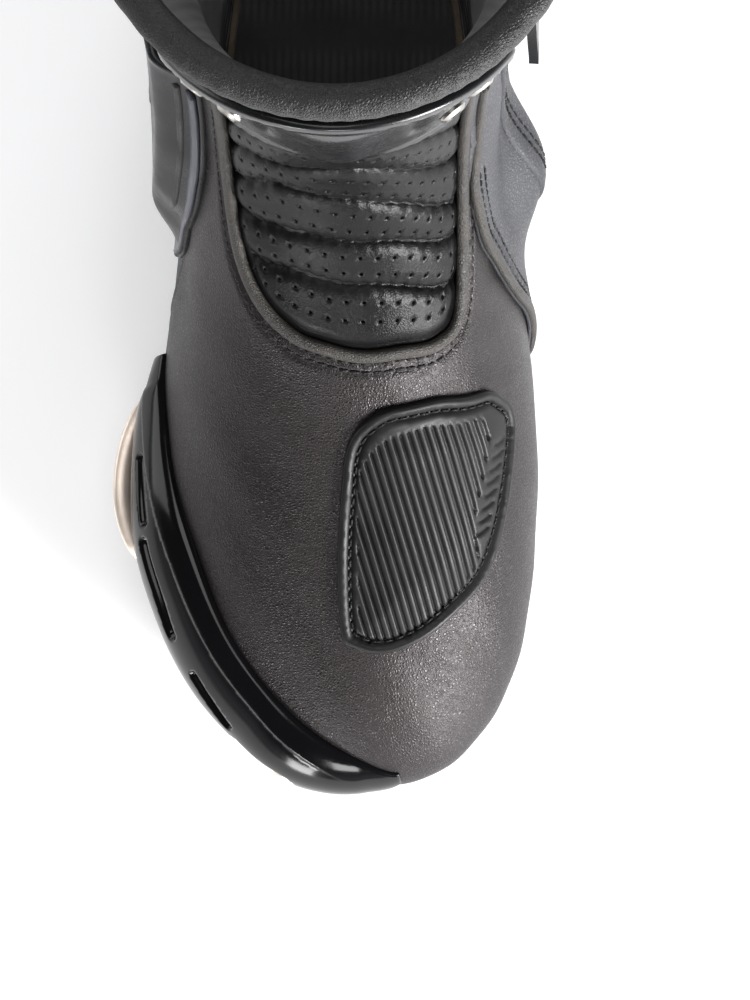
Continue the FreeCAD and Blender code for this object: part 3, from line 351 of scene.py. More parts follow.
def panel(name, edges, material, height=0.0, thickness=1.8, step=1.3, radius=0.7, rows=(), spots=None,
          chart=None):
    """A sheet of leather, foam or plastic on the form, with rounded borders and a back.

    height is a number or a function of a Spot. rows are extra lines of vertices, where the height has a
    crease. spots are extra (v, t) vertices.
    """
    outline = loop_of(edges, step * 0.75)
    gaps = np.linalg.norm(form(*outline.T) - form(*np.roll(outline, 1, axis=0).T), axis=1)
    outline = outline[gaps > CLOSEST]
    chart = chart or Chart(outline)
    fixed = list(rows) + ([] if spots is None else [spots])
    fixed = np.vstack(fixed) if fixed else np.zeros((0, 2))
    if len(fixed):
        fixed = fixed[inside(fixed, outline)]
        fixed = fixed[distance_to(form(*fixed.T), outline, closed=True) > radius * 0.5]
    grid = lattice_in(chart, outline, step, step * 0.87, step / 2)
    grid = grid[distance_to(form(*grid.T), outline, closed=True) > radius + 1.0 * step]
    if len(fixed):
        grid = grid[reach(form(*grid.T), tree_of(form(*fixed.T))) > 0.55 * step]
    vt, faces, border = triangulate(chart, outline,
                                    np.vstack(inset_rows(outline, radius, step) + [fixed, grid]))
    edge = distance_to(form(*vt.T), outline, closed=True)
    edge[border] = 0
    spot = Spot(vt, edge)
    top = height(spot) if callable(height) else np.full(len(vt), float(height))
    outer = skin(*vt.T, top + rounded(edge, radius))
    rim = skin(*vt[border].T, top[border] - radius - max(thickness - radius, 0.05))
    ring, first_rim, b = np.arange(len(border)), len(outer), np.array(border)
    following = np.roll(ring, -1)
    skirt = np.column_stack([b[following], b[ring], first_rim + ring, first_rim + following])
    coarse = lattice_in(chart, outline, BACK_STEP, BACK_STEP)
    if len(coarse):
        coarse = coarse[distance_to(form(*coarse.T), outline, closed=True, step=0.5) > BACK_STEP / 2]
    back_vt, back_faces, back_border = triangulate(chart, vt[border], coarse)
    index = {k: first_rim + i for i, k in enumerate(back_border)}
    inner = [k for k in range(len(back_vt)) if k not in index]
    index.update({k: first_rim + len(border) + i for i, k in enumerate(inner)})
    inner_vt = back_vt[inner]
    if callable(height) and len(inner_vt):
        inner_top = height(Spot(inner_vt, np.full(len(inner_vt), FAR_FROM_EDGE)))
    else:
        inner_top = np.full(len(inner_vt), float(top.mean()))
    vertices = np.vstack([outer, rim, skin(*inner_vt.T, inner_top - thickness)])
    lists = [tuple(f) for f in faces] + [tuple(f) for f in skirt]
    lists += [tuple(index[k] for k in f[::-1]) for f in back_faces]
    return make_object(name, vertices, lists, material)


def swept(name, lanes, material):
    """A closed strip through lanes of points that run side by side round its section."""
    count, n = len(lanes), len(lanes[0])
    vertices = np.stack(lanes, axis=1).reshape(-1, 3)
    faces = [(i * count + j, i * count + (j + 1) % count, (i + 1) * count + (j + 1) % count,
              (i + 1) * count + j) for i in range(n - 1) for j in range(count)]
    faces += [tuple(range(count - 1, -1, -1)), tuple((n - 1) * count + j for j in range(count))]
    return make_object(name, vertices, faces, material)


def ribbon(name, line, profile, material):
    """A strip swept along a line on the form. profile lists (sideways, height) points round its section."""
    lanes = [skin(*(shifted(line, side) if abs(side) > 1e-6 else line).T, np.full(len(line), h))
             for side, h in profile]
    return swept(name, lanes, material)


def half_round(width, height, lift=0.0):
    """A folded strip's section: flat below, round above."""
    angles = np.linspace(0, math.pi, 9)
    top = [(width / 2 * math.cos(a), lift + height * math.sin(a) ** 0.6) for a in angles]
    return top + [(-width / 2 * 0.9, lift - 0.6), (width / 2 * 0.9, lift - 0.6)]


def stitches(name, lines, material, height=0.0, pitch=3.1, length=2.35, radius=0.34):
    """Thread along lines on the form. Each stitch is a short bent tube that dips in at both ends."""
    shares = np.array([0, 0.1, 0.3, 0.7, 0.9, 1])
    rise = np.array([-0.55, 0.02, 0.16, 0.16, 0.02, -0.55])
    sides = 6
    turn = 2 * math.pi * np.arange(sides) / sides
    vertices, faces = [], []
    base = 0
    for line in lines:
        run = run_along(form(*line.T))
        count = int(run[-1] // pitch)
        if count < 1:
            continue
        starts = (run[-1] - count * pitch) / 2 + pitch * np.arange(count) + (pitch - length) / 2
        s = starts[:, None] + shares * length
        v, t = np.interp(s, run, line[:, 0]), np.interp(s, run, line[:, 1])
        lift = height(v, t) if callable(height) else height
        centre = skin(v, t, lift + rise)
        n = normal(v, t)
        along = unit(np.gradient(centre, axis=1))
        side = unit(np.cross(n, along))
        n = np.cross(along, side)
        ring = (centre[:, :, None] + radius * (np.cos(turn)[:, None] * side[:, :, None]
                                               + 0.8 * np.sin(turn)[:, None] * n[:, :, None]))
        vertices.append(ring.reshape(-1, 3))
        for c in range(count):
            start = base + c * len(shares) * sides
            for i in range(len(shares) - 1):
                for j in range(sides):
                    k = (j + 1) % sides
                    a, b = start + i * sides, start + (i + 1) * sides
                    faces.append((a + j, a + k, b + k, b + j))
            faces.append(tuple(start + j for j in range(sides - 1, -1, -1)))
            faces.append(tuple(start + (len(shares) - 1) * sides + j for j in range(sides)))
        base += count * len(shares) * sides
    return make_object(name, np.vstack(vertices), faces, material)


# ---------------------------------------------------------------- materials


class Shader:
    """A short way to write a node material."""

    def __init__(self, name, color, roughness, **sockets):
        self.material = bpy.data.materials.new(name)
        self.material.use_nodes = True
        self.tree = self.material.node_tree
        self.bsdf = self.tree.nodes["Principled BSDF"]
        self.bsdf.inputs["Base Color"].default_value = (*color, 1)
        self.bsdf.inputs["Roughness"].default_value = roughness
        for socket, value in sockets.items():
            self.bsdf.inputs[socket.replace("_", " ")].default_value = value
        self.place = self.node("ShaderNodeTexCoord").outputs["Object"]

    def node(self, kind, props=None, **inputs):
        node = self.tree.nodes.new(kind)
        for key, value in (props or {}).items():
            setattr(node, key, value)
        for key, value in inputs.items():
            socket = node.inputs[key.replace("_", " ")]
            if isinstance(value, bpy.types.NodeSocket):
                self.tree.links.new(value, socket)
            else:
                socket.default_value = value
        return node

    def stretched(self, scale):
        return self.node("ShaderNodeMapping", Vector=self.place, Scale=scale).outputs["Vector"]

    def noise(self, scale, detail=3.0, roughness=0.55, vector=None):
        node = self.node("ShaderNodeTexNoise", Vector=vector or self.place, Scale=scale, Detail=detail,
                         Roughness=roughness)
        return node.outputs["Fac"]

    def cells(self, scale, vector):
        """Distance to the nearest edge of a cell."""
        return self.node("ShaderNodeTexVoronoi", {"feature": "DISTANCE_TO_EDGE"}, Vector=vector, Scale=scale,
                         Randomness=1.0).outputs["Distance"]

    def warped(self, scale, amount):
        """The place, pushed about by noise."""
        color = self.node("ShaderNodeTexNoise", Vector=self.place, Scale=scale, Detail=2.0).outputs["Color"]
        push = self.node("ShaderNodeVectorMath", {"operation": "SCALE"}, Scale=amount)
        self.tree.links.new(color, push.inputs[0])
        total = self.node("ShaderNodeVectorMath", {"operation": "ADD"})
        self.tree.links.new(self.place, total.inputs[0])
        self.tree.links.new(push.outputs[0], total.inputs[1])
        return total.outputs[0]

    def math(self, operation, a, b=0.0):
        node = self.node("ShaderNodeMath", {"operation": operation})
        for socket, value in zip(node.inputs, (a, b)):
            if isinstance(value, bpy.types.NodeSocket):
                self.tree.links.new(value, socket)
            else:
                socket.default_value = value
        return node.outputs[0]

    def ramp(self, value, low, high, low_out=0.0, high_out=1.0):
        node = self.node("ShaderNodeMapRange", {"interpolation_type": "SMOOTHSTEP"}, Value=value)
        for key, number in zip(("From Min", "From Max", "To Min", "To Max"), (low, high, low_out, high_out)):
            node.inputs[key].default_value = number
        return node.outputs["Result"]

    def tint(self, value, dark, light):
        """Base colour between two colours."""
        node = self.node("ShaderNodeMix", {"data_type": "RGBA"})
        self.tree.links.new(value, node.inputs[0])
        node.inputs[6].default_value = (*dark, 1)
        node.inputs[7].default_value = (*light, 1)
        self.tree.links.new(node.outputs[2], self.bsdf.inputs["Base Color"])
        return self

    def rough(self, value):
        self.tree.links.new(value, self.bsdf.inputs["Roughness"])
        return self

    def bump(self, *layers):
        """Layers of (height, depth in millimetres)."""
        last = None
        for height, depth in layers:
            node = self.node("ShaderNodeBump", Height=height, Distance=depth * MM, Strength=1.0)
            if last:
                self.tree.links.new(last, node.inputs["Normal"])
            last = node.outputs["Normal"]
        self.tree.links.new(last, self.bsdf.inputs["Normal"])
        return self


def mix(color, factor):
    return tuple(c * factor for c in color)


def leather(name, color, grain=1.15, depth=0.1, roughness=0.42, specular=0.4, tint=(1, 1, 1)):
    """Pebble-grained leather. grain is the pebble's size in millimetres."""
    s = Shader(name, color, roughness, Specular_IOR_Level=specular, Specular_Tint=(*tint, 1))
    pebble = s.ramp(s.cells(1000 / grain, vector=s.warped(420, 0.0011)), 0.0, 0.38)
    fine = s.noise(2400, 3)
    broad = s.noise(24, 4, 0.62)
    patches = s.ramp(broad, 0.32, 0.7)
    # Base colour: broad random patches of tone, times painted shade that darkens the creases between the
    # pebbles, where the pebble height is low.
    s.tint(s.math("MULTIPLY", s.ramp(broad, 0.3, 0.7, 0.4, 1.0), s.ramp(pebble, 0, 0.7, 0.5, 1.0)),
           mix(color, 0.5), mix(color, 1.35))
    base = s.math("ADD", s.ramp(pebble, 0, 1, 0.16, -0.03), s.math("MULTIPLY", patches, 0.1))
    s.rough(s.math("ADD", base, roughness - 0.05))
    return s.bump((s.noise(150, 2), depth * 1.6), (pebble, depth), (fine, depth * 0.2)).material


def smooth_leather(name, color, roughness=0.42, depth=0.05, specular=0.5):
    s = Shader(name, color, roughness, Specular_IOR_Level=specular)
    grain = s.cells(1500, vector=s.warped(600, 0.0006))
    broad = s.noise(40, 3)
    s.tint(s.ramp(broad, 0.3, 0.75), mix(color, 0.6), mix(color, 1.25))
    s.rough(s.ramp(broad, 0.25, 0.75, roughness - 0.07, roughness + 0.08))
    return s.bump((s.ramp(grain, 0, 0.35), depth), (s.noise(220, 3), depth * 2.2)).material


def plastic(name, color, roughness, texture=0.01, specular=0.5):
    s = Shader(name, color, roughness, Specular_IOR_Level=specular)
    broad = s.noise(35, 4)
    s.tint(s.ramp(broad, 0.3, 0.7), mix(color, 0.8), mix(color, 1.25))
    s.rough(s.ramp(s.noise(90, 5, 0.7), 0.3, 0.75, roughness * 0.8, roughness * 1.35))
    return s.bump((s.noise(900, 2), texture), (s.noise(60, 2), texture * 3)).material


def rubber(name, color, roughness=0.5, texture=0.03, specular=0.5):
    s = Shader(name, color, roughness, Specular_IOR_Level=specular)
    dust = s.noise(70, 5, 0.65)
    s.tint(s.ramp(dust, 0.35, 0.8), mix(color, 0.8), mix(color, 1.5))
    s.rough(s.ramp(dust, 0.3, 0.7, roughness - 0.05, roughness + 0.1))
    return s.bump((s.noise(1800, 2), texture)).material


def fabric(name, color, pitch=0.9, depth=0.12, roughness=0.85, sheen=0.25):
    """A plain weave: two crossed wave patterns."""
    s = Shader(name, color, roughness)
    s.bsdf.inputs["Sheen Weight"].default_value = sheen
    s.bsdf.inputs["Sheen Roughness"].default_value = 0.4
    threads = []
    for axis in ("X", "Z"):
        wave = s.node("ShaderNodeTexWave", {"bands_direction": axis, "wave_profile": "SIN"}, Vector=s.place,
                      Scale=1000 / pitch / 20 * 6.283 / 2, Distortion=0.6)
        threads.append(wave.outputs["Fac"])
    weave = s.math("MULTIPLY", threads[0], threads[1])
    # Base colour: random patches of tone, times painted shade that darkens the gaps where the threads dip.
    s.tint(s.math("MULTIPLY", s.ramp(s.noise(60, 4), 0.3, 0.7, 0.5, 1.0), s.ramp(weave, 0, 0.7, 0.5, 1.0)),
           mix(color, 0.5), mix(color, 1.5))
    return s.bump((weave, depth), (s.noise(2500, 2), depth * 0.4)).material


def metal(name, color, roughness, metallic=1.0):
    s = Shader(name, color, roughness, Metallic=metallic)
    streaks = s.noise(400, 4, vector=s.stretched((1, 12, 1)))
    s.tint(s.ramp(s.noise(60, 3), 0.3, 0.7), mix(color, 0.82), mix(color, 1.06))
    s.rough(s.ramp(streaks, 0.3, 0.7, roughness * 0.85, roughness * 1.2))
    return s.bump((streaks, 0.002)).material


VAMP = leather("vamp_leather", (0.0062, 0.0044, 0.0044), grain=0.8, depth=0.075, roughness=0.34,
               tint=(1, 0.93, 0.94))
PANEL = leather("panel_leather", (0.05, 0.051, 0.057), grain=0.95, depth=0.08, roughness=0.46)
SHAFT = leather("shaft_leather", (0.0085, 0.0072, 0.007), grain=1.25)
STRETCH = smooth_leather("stretch_leather", (0.005, 0.005, 0.0054), 0.32, 0.03, 0.15)
BINDING = smooth_leather("binding_leather", (0.034, 0.03, 0.026), 0.46, 0.12, 0.4)
THREAD = smooth_leather("thread", (0.004, 0.004, 0.004), 0.5, 0.12, 0.3)
GLOSS = plastic("gloss_shell", (0.0025, 0.0025, 0.003), 0.12, 0.004, specular=0.3)
SATIN = plastic("satin_shell", (0.007, 0.0075, 0.009), 0.3, 0.006, specular=0.3)
SHELL_SATIN = plastic("shell_satin", (0.006, 0.0062, 0.007), 0.24, 0.005)
RIM_BLUE = plastic("satin_rim", (0.07, 0.073, 0.092), 0.36, 0.006)
MATT = plastic("matt_shell", (0.012, 0.011, 0.0095), 0.55, 0.08)
PAD_RUBBER = rubber("pad_rubber", (0.009, 0.0087, 0.009), 0.42, 0.012, 0.24)
TREAD = rubber("tread_rubber", (0.011, 0.011, 0.011), 0.6, 0.05)
SIDEWALL = rubber("sidewall_rubber", (0.013, 0.0125, 0.0125), 0.48, 0.04)
LINING = fabric("lining_fabric", (0.016, 0.016, 0.018))
FOOTBED = fabric("footbed_fabric", (0.05, 0.05, 0.055), 1.1)
COLLAR = smooth_leather("collar_suede", (0.012, 0.0115, 0.0115), 0.6, 0.14)
WEBBING = fabric("webbing", (0.014, 0.014, 0.016), 0.8, 0.2, 0.75)
PILE = fabric("hook_and_loop", (0.012, 0.012, 0.013), 0.6, 0.3, 0.95, 0.3)
BOARD = rubber("board", (0.19, 0.15, 0.11), 0.8, 0.05)
CHAMPAGNE = metal("slider_metal", (0.95, 0.82, 0.71), 0.42, metallic=0.7)
STEEL = metal("screw_steel", (0.4, 0.385, 0.36), 0.3)
ZIP_METAL = metal("zip_metal", (0.22, 0.22, 0.23), 0.35)
ZIP_PLASTIC = plastic("zip_plastic", (0.014, 0.014, 0.015), 0.4, 0.02)

# ---------------------------------------------------------------- riding and replacing


def finish_piece(obj, body, slot, *nodes):
    """Hangs a piece on its body, or leaves it across the ankle with its transform baked, and hides the CAD
    nodes it stands for.
    """
    if body == "bends":
        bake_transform(obj)
    else:
        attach(obj, body)
    if nodes:
        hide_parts(*nodes)
    return obj


def paint(material, *nodes):
    """Gives CAD nodes a finished material."""
    for name in nodes:
        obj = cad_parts[name]
        obj.data.materials.clear()
        obj.data.materials.append(material)


def soften(width, *nodes):
    """Rounds the hard edges of CAD nodes."""
    for name in nodes:
        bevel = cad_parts[name].modifiers.new("soft_edges", "BEVEL")
        bevel.width = width * MM
        bevel.segments = 3
        bevel.limit_method = "ANGLE"
        bevel.angle_limit = math.radians(40)


# ---------------------------------------------------------------- seams of the upper

U_LINE = [(-2.14, 6.45), (-2.12, 6.0), (-2.1, 5.5), (-2.0, 5.1), (-1.82, 4.87), (-1.45, 4.755),
          (-0.85, 4.725),
          (-0.2, 4.73), (0.85, 4.61), (1.65, 4.37), (2.03, 4.27), (2.18, 4.38), (2.22, 4.78), (2.18, 5.5),
          (2.16, 6.0), (2.16, 6.45)]
FOLD = [(3.42, -0.06), (3.46, 0.6), (3.52, 1.3), (3.5, 2.1), (3.32, 2.95), (3.02, 3.7), (2.68, 4.3),
        (2.44, 4.8),
        (2.3, 5.2), (2.24, 5.5)]
SECOND_SEAM = [(3.9, -0.06), (3.95, 0.9), (3.96, 1.8), (3.88, 2.6), (3.78, 3.2), (3.62, 4.0), (3.42, 4.7),
               (3.2, 5.3), (2.98, 6.02)]
VALLEYS = [
    [(-1.61, 5.06), (-1.3, 5.14), (-0.85, 5.23), (-0.4, 5.25), (0.08, 5.23), (0.6, 5.17), (1.24, 4.97),
     (2.1, 4.56)],
    [(-2.0, 5.27), (-1.52, 5.42), (-1.01, 5.54), (-0.36, 5.61), (0.6, 5.53), (1.25, 5.34), (2.1, 4.93)],
    [(-2.0, 5.55), (-1.57, 5.76), (-1.15, 5.95), (-0.52, 6.03), (0.1, 6.01), (0.6, 5.91), (1.22, 5.69),
     (2.1, 5.22)],
    [(-2.05, 5.86), (-1.6, 6.08), (-0.91, 6.26), (-0.19, 6.41), (0.4, 6.37), (1.1, 6.12), (2.1, 5.66)],
    [(-2.1, 6.12), (-1.6, 6.36), (-0.9, 6.6), (0, 6.7), (0.9, 6.55), (1.6, 6.3), (2.1, 6.02)],
]
SHAFT_TOP = 8.965
HEM = -0.06


def straight(a, b):
    """An edge without a bend."""
    return [a, b]


SHAFT_HEM = [(-8.47, 5.8), (-7.02, 6.15), (-5.6, 5.82), (-4.2, 5.4), (-3.2, 5.88), (-2.46, 6.27),
             (2.46, 6.27), (3.2, 5.88),
             (4.2, 5.4), (4.87, 5.62), (5.53, 5.8), (6.98, 6.15)]


def tucked(p, height):
    """A panel's height, dipping where it passes inside the shaft's hem."""
    under = smooth_step(p.t - along_list(SHAFT_HEM, p.v), -0.1, -0.02)
    return height * (1 - under) - 2.0 * under


def make_vamp():
    """The main leather, from the toe up the lateral side to the shaft, open in a U for the instep."""
    u = line_on(U_LINE, 1.5)
    low = [(-3.62, HEM), (-2, HEM), (0, HEM), (2, HEM), (3.55, HEM)]
    medial = [(v + 0.13, t) for v, t in FOLD[:-1]] + [(2.3, 5.6)]
    lateral_top = [(-2.14, 6.5), (-2.6, 6.34), (-3.2, 6.0), (-4.2, 5.58), (-5.5, 5.96)]
    edges = [
        low,
        medial,
        straight((2.3, 5.6), (2.19, 5.6)),
        [(2.19, 5.6)] + U_LINE[::-1][3:-1] + [(-2.14, 6.5)],
        lateral_top,
        straight((-5.5, 5.96), (-5.5, 4.62)),
        [(-5.5, 4.62), (-4.2, 4.7), (-3.62, 4.55)],
        straight((-3.62, 4.55), (-3.62, HEM)),
    ]
    inner, outer = shifted(u, -2.5), shifted(u, -5.0)
    lateral_seam = line_on([(-3.62, 4.55), (-3.62, 2), (-3.62, HEM)], 1.5)

    def height(p):
        d = p.to(u)
        wide = smooth_step(p.t, 6.6, 5.2)
        h = groove(p.to(inner), 0.75, 0.7) + groove(p.to(outer), 0.75, 0.7)
        ridge = np.exp(-(((d - 3.75) / 0.7) ** 2)) * 0.55
        crease = 0.16 * np.sin(p.y * 0.62 + 0.05 * p.x * np.sin(p.y * 0.11))
        crease = crease * np.exp(-(((p.t - 3.4) / 0.55) ** 2)) * smooth_step(p.v, 1.2, 2.6)
        slow = 0.22 * np.sin(p.x * 0.13 + 1) * np.sin(p.y * 0.09) + 0.12 * np.sin(p.x * 0.31 + p.y * 0.23)
        return tucked(p, (h + ridge) * wide + crease + slow + groove(p.to(lateral_seam) - 2.2, 0.7, 0.3))

    rows = [inner, outer, shifted(u, -3.75), shifted(u, -1.6), shifted(u, -5.8)]
    vamp = panel("vamp_leather_panel", edges, VAMP, height, 1.7, 1.25, 0.7, rows=rows)
    finish_piece(vamp, "bends", "main_leather", "vamp", "ankle_gaiter_lateral")
    span = line_on(U_LINE[1:-1], 0.8)
    rows = [shifted(span, -2.5), shifted(span, -5.0)]
    finish_piece(stitches("throat_stitching", rows, THREAD, -0.3, 3.0, 2.1, 0.52), "bends", "binding_leather")
    seam = shifted(line_on([(-3.62, 0.85), (-3.62, 0.4), (-3.62, 0)], 0.8), -2.2)
    finish_piece(stitches("lateral_stitching", [seam], THREAD, -0.12), "foot", "binding_leather")


def make_piping():
    line = line_on(U_LINE, 0.8)
    finish_piece(ribbon("instep_binding", line, half_round(3.5, 1.7), BINDING), "bends", "binding_leather",
                 "instep_piping")


def evenly(line):
    """The line read at even shares of its points."""
    shares = np.linspace(0, 1, 60)
    return np.column_stack([np.interp(shares, np.linspace(0, 1, len(line)), line[:, i]) for i in (0, 1)])


def perforations():
    """Rows of small holes between the accordion's valleys."""
    centres = []
    bottom = [(-1.7, 4.93), (-1.2, 4.86), (-0.6, 4.86), (0, 4.86), (0.8, 4.76), (1.5, 4.56), (2.1, 4.42)]
    lines = [smooth_line(p) for p in [bottom] + VALLEYS]
    for k, (low, high) in enumerate(zip(lines, lines[1:])):
        a, b = evenly(spaced(low, 1.0)), evenly(spaced(high, 1.0))
        for r, share in enumerate((0.3, 0.68)):
            row = spaced(a * (1 - share) + b * share, 0.25)
            first = 8 + HOLE_PITCH // 2 * ((r + k) % 2)
            centres.append(row[first:-8:HOLE_PITCH])
    return np.vstack(centres)


def make_accordion():
    """The instep panel: padded channels between stitched valleys, with rows of small holes."""
    edges = [
        [(-1.84, 4.95), (-1.45, 4.8), (-0.85, 4.77), (-0.2, 4.775), (0.85, 4.655), (1.6, 4.43), (1.95, 4.33)],
        [(1.95, 4.33), (2.12, 4.42), (2.18, 4.8), (2.15, 5.5), (2.12, 6.3)],
        [(2.12, 6.3), (1.8, 6.62), (0, 6.8), (-1.8, 6.62), (-2.1, 6.3)],
        [(-2.1, 6.3), (-2.06, 5.5), (-1.97, 5.12), (-1.84, 4.95)],
    ]
    valleys = [line_on(p, 0.8) for p in VALLEYS]
    holes = perforations()
    across, up = slopes(*holes.T)
    rings = [holes]
    for radius in (0.3, 0.42, 0.6):
        for k in range(8):
            angle = k * math.pi / 4
            push = unit(across) * math.cos(angle) + unit(np.cross(normal(*holes.T), across)) * math.sin(angle)
            rings.append(holes + slide(across, up, push * radius))
    tree = tree_of(form(*holes.T))

    def height(p):
        d = np.min([p.to(line) for line in valleys], axis=0)
        puff = 2.3 * arch(d / 5.2)
        pull = reach(p.xyz, tree)
        hole = 0.14 * np.exp(-(((pull - 0.75) / 0.2) ** 2)) - 0.85 * (1 - smooth_step(pull, 0.36, 0.5))
        wrinkle = 0.3 * np.sin(p.x * 1.85 + p.y * 0.3) * np.exp(-d / 1.6)
        border = -1.1 * (1 - smooth_step(p.edge, 0.3, 4.5))
        return -1.6 + puff + wrinkle + border + hole

    rows = []
    for line in valleys:
        rows += [line] + [shifted(line, d) for d in (-1.0, -0.45, 0.45, 1.0)]
    piece = panel("accordion_panel", edges, STRETCH, height, 1.2, 0.95, 0.4, rows=rows,
                  spots=np.vstack(rings))
    finish_piece(piece, "bends", "stretch_leather", "instep_accordion")
    threads = stitches("accordion_stitching", [line_on(p, 0.8)[3:-3] for p in VALLEYS], THREAD, -1.5, 3.4,
                       2.5, 0.3)
    finish_piece(threads, "bends", "stretch_leather")


def medial_bulge(p):
    """Padding in front of the medial ankle bone."""
    along = smooth_step(p.y, -9.8, 9.2) * (1 - smooth_step(p.y, 9, 46))
    return 14.6 * along * smooth_step(p.v, 3.45, 4.0) * np.exp(-(((p.z - 80) / 22) ** 2))


def make_medial_panels():
    """The overlay with the folded edge, and the padded panel behind it."""
    fold, second = line_on(FOLD, 1.2), line_on(SECOND_SEAM, 1.2)
    overlay_rows = [shifted(fold, -d) for d in (4.6, 6.9)]
    quarter_rows = [shifted(second, -d) for d in (1.7, 3.6)]

    def overlay_height(p):
        stitched = sum(groove(p.to(row), 0.7, 0.35) for row in overlay_rows)
        roll = 0.5 * np.exp(-(((p.to(fold) - 5.75) / 0.8) ** 2))
        slow = 0.15 * np.sin(p.y * 0.2 + p.z * 0.13)
        flat = 1.35 - 0.35 * smooth_step(p.to(fold), 8, 16)
        return tucked(p, flat + stitched + roll + medial_bulge(p) + slow)

    def quarter_height(p):
        stitched = groove(p.to(quarter_rows[0]), 0.6, 0.5) + groove(p.to(quarter_rows[1]), 0.6, 0.35)
        return tucked(p, 1.9 - 1.5 * smooth_step(p.v, 4.3, 5.2) + medial_bulge(p) + stitched)

    edges = [
        straight(FOLD[0], SECOND_SEAM[0]),
        SECOND_SEAM,
        [SECOND_SEAM[-1], (2.7, 6.2), (2.22, 6.4)],
        [(2.22, 6.4), (2.23, 5.9), FOLD[-1]],
        FOLD[::-1],
    ]
    piece = panel("medial_overlay", edges, PANEL, overlay_height, 1.5, 1.25, 0.7, rows=overlay_rows)
    finish_piece(piece, "bends", "panel_leather", "ankle_gaiter_medial")
    front = [(v - 0.05, t) for v, t in SECOND_SEAM]
    edges = [
        straight(front[0], (6.99, HEM)),
        straight((6.99, HEM), (6.99, 4.66)),
        [(6.99, 4.66), (5.58, 4.7)],
        straight((5.58, 4.7), (5.58, 5.94)),
        [(5.58, 5.94), (4.9, 5.76), (4.2, 5.55), (3.3, 5.96), front[-1]],
        front[::-1],
    ]
    piece = panel("medial_quarter", edges, PANEL, quarter_height, 1.6, 1.4, 0.8, rows=quarter_rows)
    finish_piece(piece, "bends", "panel_leather", "quarter_medial")
    strip = shifted(line_on(FOLD[:-1] + [(2.33, 5.6), (2.36, 6.2)], 0.8), -1.5)
    finish_piece(ribbon("medial_folded_edge", strip, half_round(3.1, 1.4, 1.2), BINDING), "bends",
                 "binding_leather")
    fold, second = line_on(FOLD[:-1], 0.8), line_on(SECOND_SEAM, 0.8)

    def on_quarter(v, t):
        spot = Spot(np.column_stack([v.ravel(), t.ravel()]), 0)
        return (1.6 + medial_bulge(spot)).reshape(v.shape)

    finish_piece(stitches("medial_stitching", [shifted(fold, -4.6), shifted(fold, -6.9)], THREAD, 1.12),
                 "bends",
                 "binding_leather")
    finish_piece(stitches("medial_seam_stitching", [shifted(second, -1.7), shifted(second, -3.6)], THREAD,
                          on_quarter), "bends", "binding_leather")


def make_lateral_quarter():
    """The leather behind the vamp's side seam, mostly under the shells."""
    edges = [
        straight((-6.99, HEM), (-3.45, HEM)),
        straight((-3.45, HEM), (-3.45, 4.5)),
        [(-3.45, 4.5), (-4.2, 4.66), (-5.5, 4.66), (-6.99, 4.66)],
        straight((-6.99, 4.66), (-6.99, HEM)),
    ]
    piece = panel("lateral_quarter", edges, PANEL, -0.9, 0.9, 1.8, 0.3)
    finish_piece(piece, "foot", "panel_leather", "quarter_lateral")


def make_achilles():
    """Soft folds behind the heel, where the shaft bends."""
    edges = [
        [(5.62, 4.72), (7, 4.7), (8.46, 4.72)],
        straight((8.46, 4.72), (8.46, 5.8)),
        [(8.46, 5.8), (7.6, 6.14), (7, 6.2), (6.4, 6.08), (5.62, 5.86)],
        straight((5.62, 5.86), (5.62, 4.72)),
    ]
    valleys = [line_on([(5.5, t), (7, t + 0.04), (8.6, t)], 1.0) for t in (5.0, 5.3, 5.6, 5.9)]

    def height(p):
        d = np.min([p.to(line) for line in valleys], axis=0)
        return -1.5 + 1.9 * arch(d / 4.2) - np.exp(-p.edge / 1.5)

    rows = [line for line in valleys] + [shifted(line, d) for line in valleys for d in (-0.8, 0.8)]
    piece = panel("achilles_panel", edges, STRETCH, height, 1.3, 1.2, 0.4, rows=rows)
    finish_piece(piece, "bends", "stretch_leather", "achilles_accordion")


# ---------------------------------------------------------------- the shaft


SHAFT_SEAMS = {
    "shaft_front": [(-2.4, 6.28), (-1.8, 6.5), (0, 6.62), (1.8, 6.5), (2.4, 6.28)],
    "shaft_lateral": [(-6.98, 6.15), (-5.6, 5.82), (-4.2, 5.4), (-3.2, 5.88), (-2.46, 6.27)],
    "shaft_medial": [(2.46, 6.27), (3.2, 5.88), (4.2, 5.4), (4.87, 5.62)],
    "shaft_rear": [(5.53, 5.8), (6.98, 6.15)],
}


def make_shaft():
    for name, low in SHAFT_SEAMS.items():
        right, left = low[-1][0], low[0][0]
        edges = [low, straight(low[-1], (right, SHAFT_TOP)), straight((right, SHAFT_TOP), (left, SHAFT_TOP)),
                 straight((left, SHAFT_TOP), low[0])]
        sides = [line_on([(v, 5.6), (v, 7.5), (v, SHAFT_TOP)], 1.2) for v in (left, right)]
        hem = line_on(low, 1.2)
        inner = [shifted(sides[0], -2.2), shifted(sides[1], 2.2), shifted(hem, 2.4)]

        def height(p, inner=inner):
            slow = 0.2 * np.sin(p.z * 0.11 + p.x * 0.06) * np.sin(p.y * 0.09 + 1)
            return slow + sum(groove(p.to(row), 0.7, 0.3) for row in inner)

        piece = panel(name + "_leather", edges, SHAFT, height, 1.6, 1.6, 0.8, rows=inner)
        finish_piece(piece, "shaft", "main_leather", name)
        clip = [row[(row[:, 1] > 5.95) & (row[:, 1] < 8.85)] for row in inner[:2]]
        hem_row = inner[2][(inner[2][:, 0] > left + 0.12) & (inner[2][:, 0] < right - 0.12)]
        finish_piece(stitches(name + "_stitching", clip + [hem_row], THREAD, -0.15), "shaft",
                     "binding_leather")


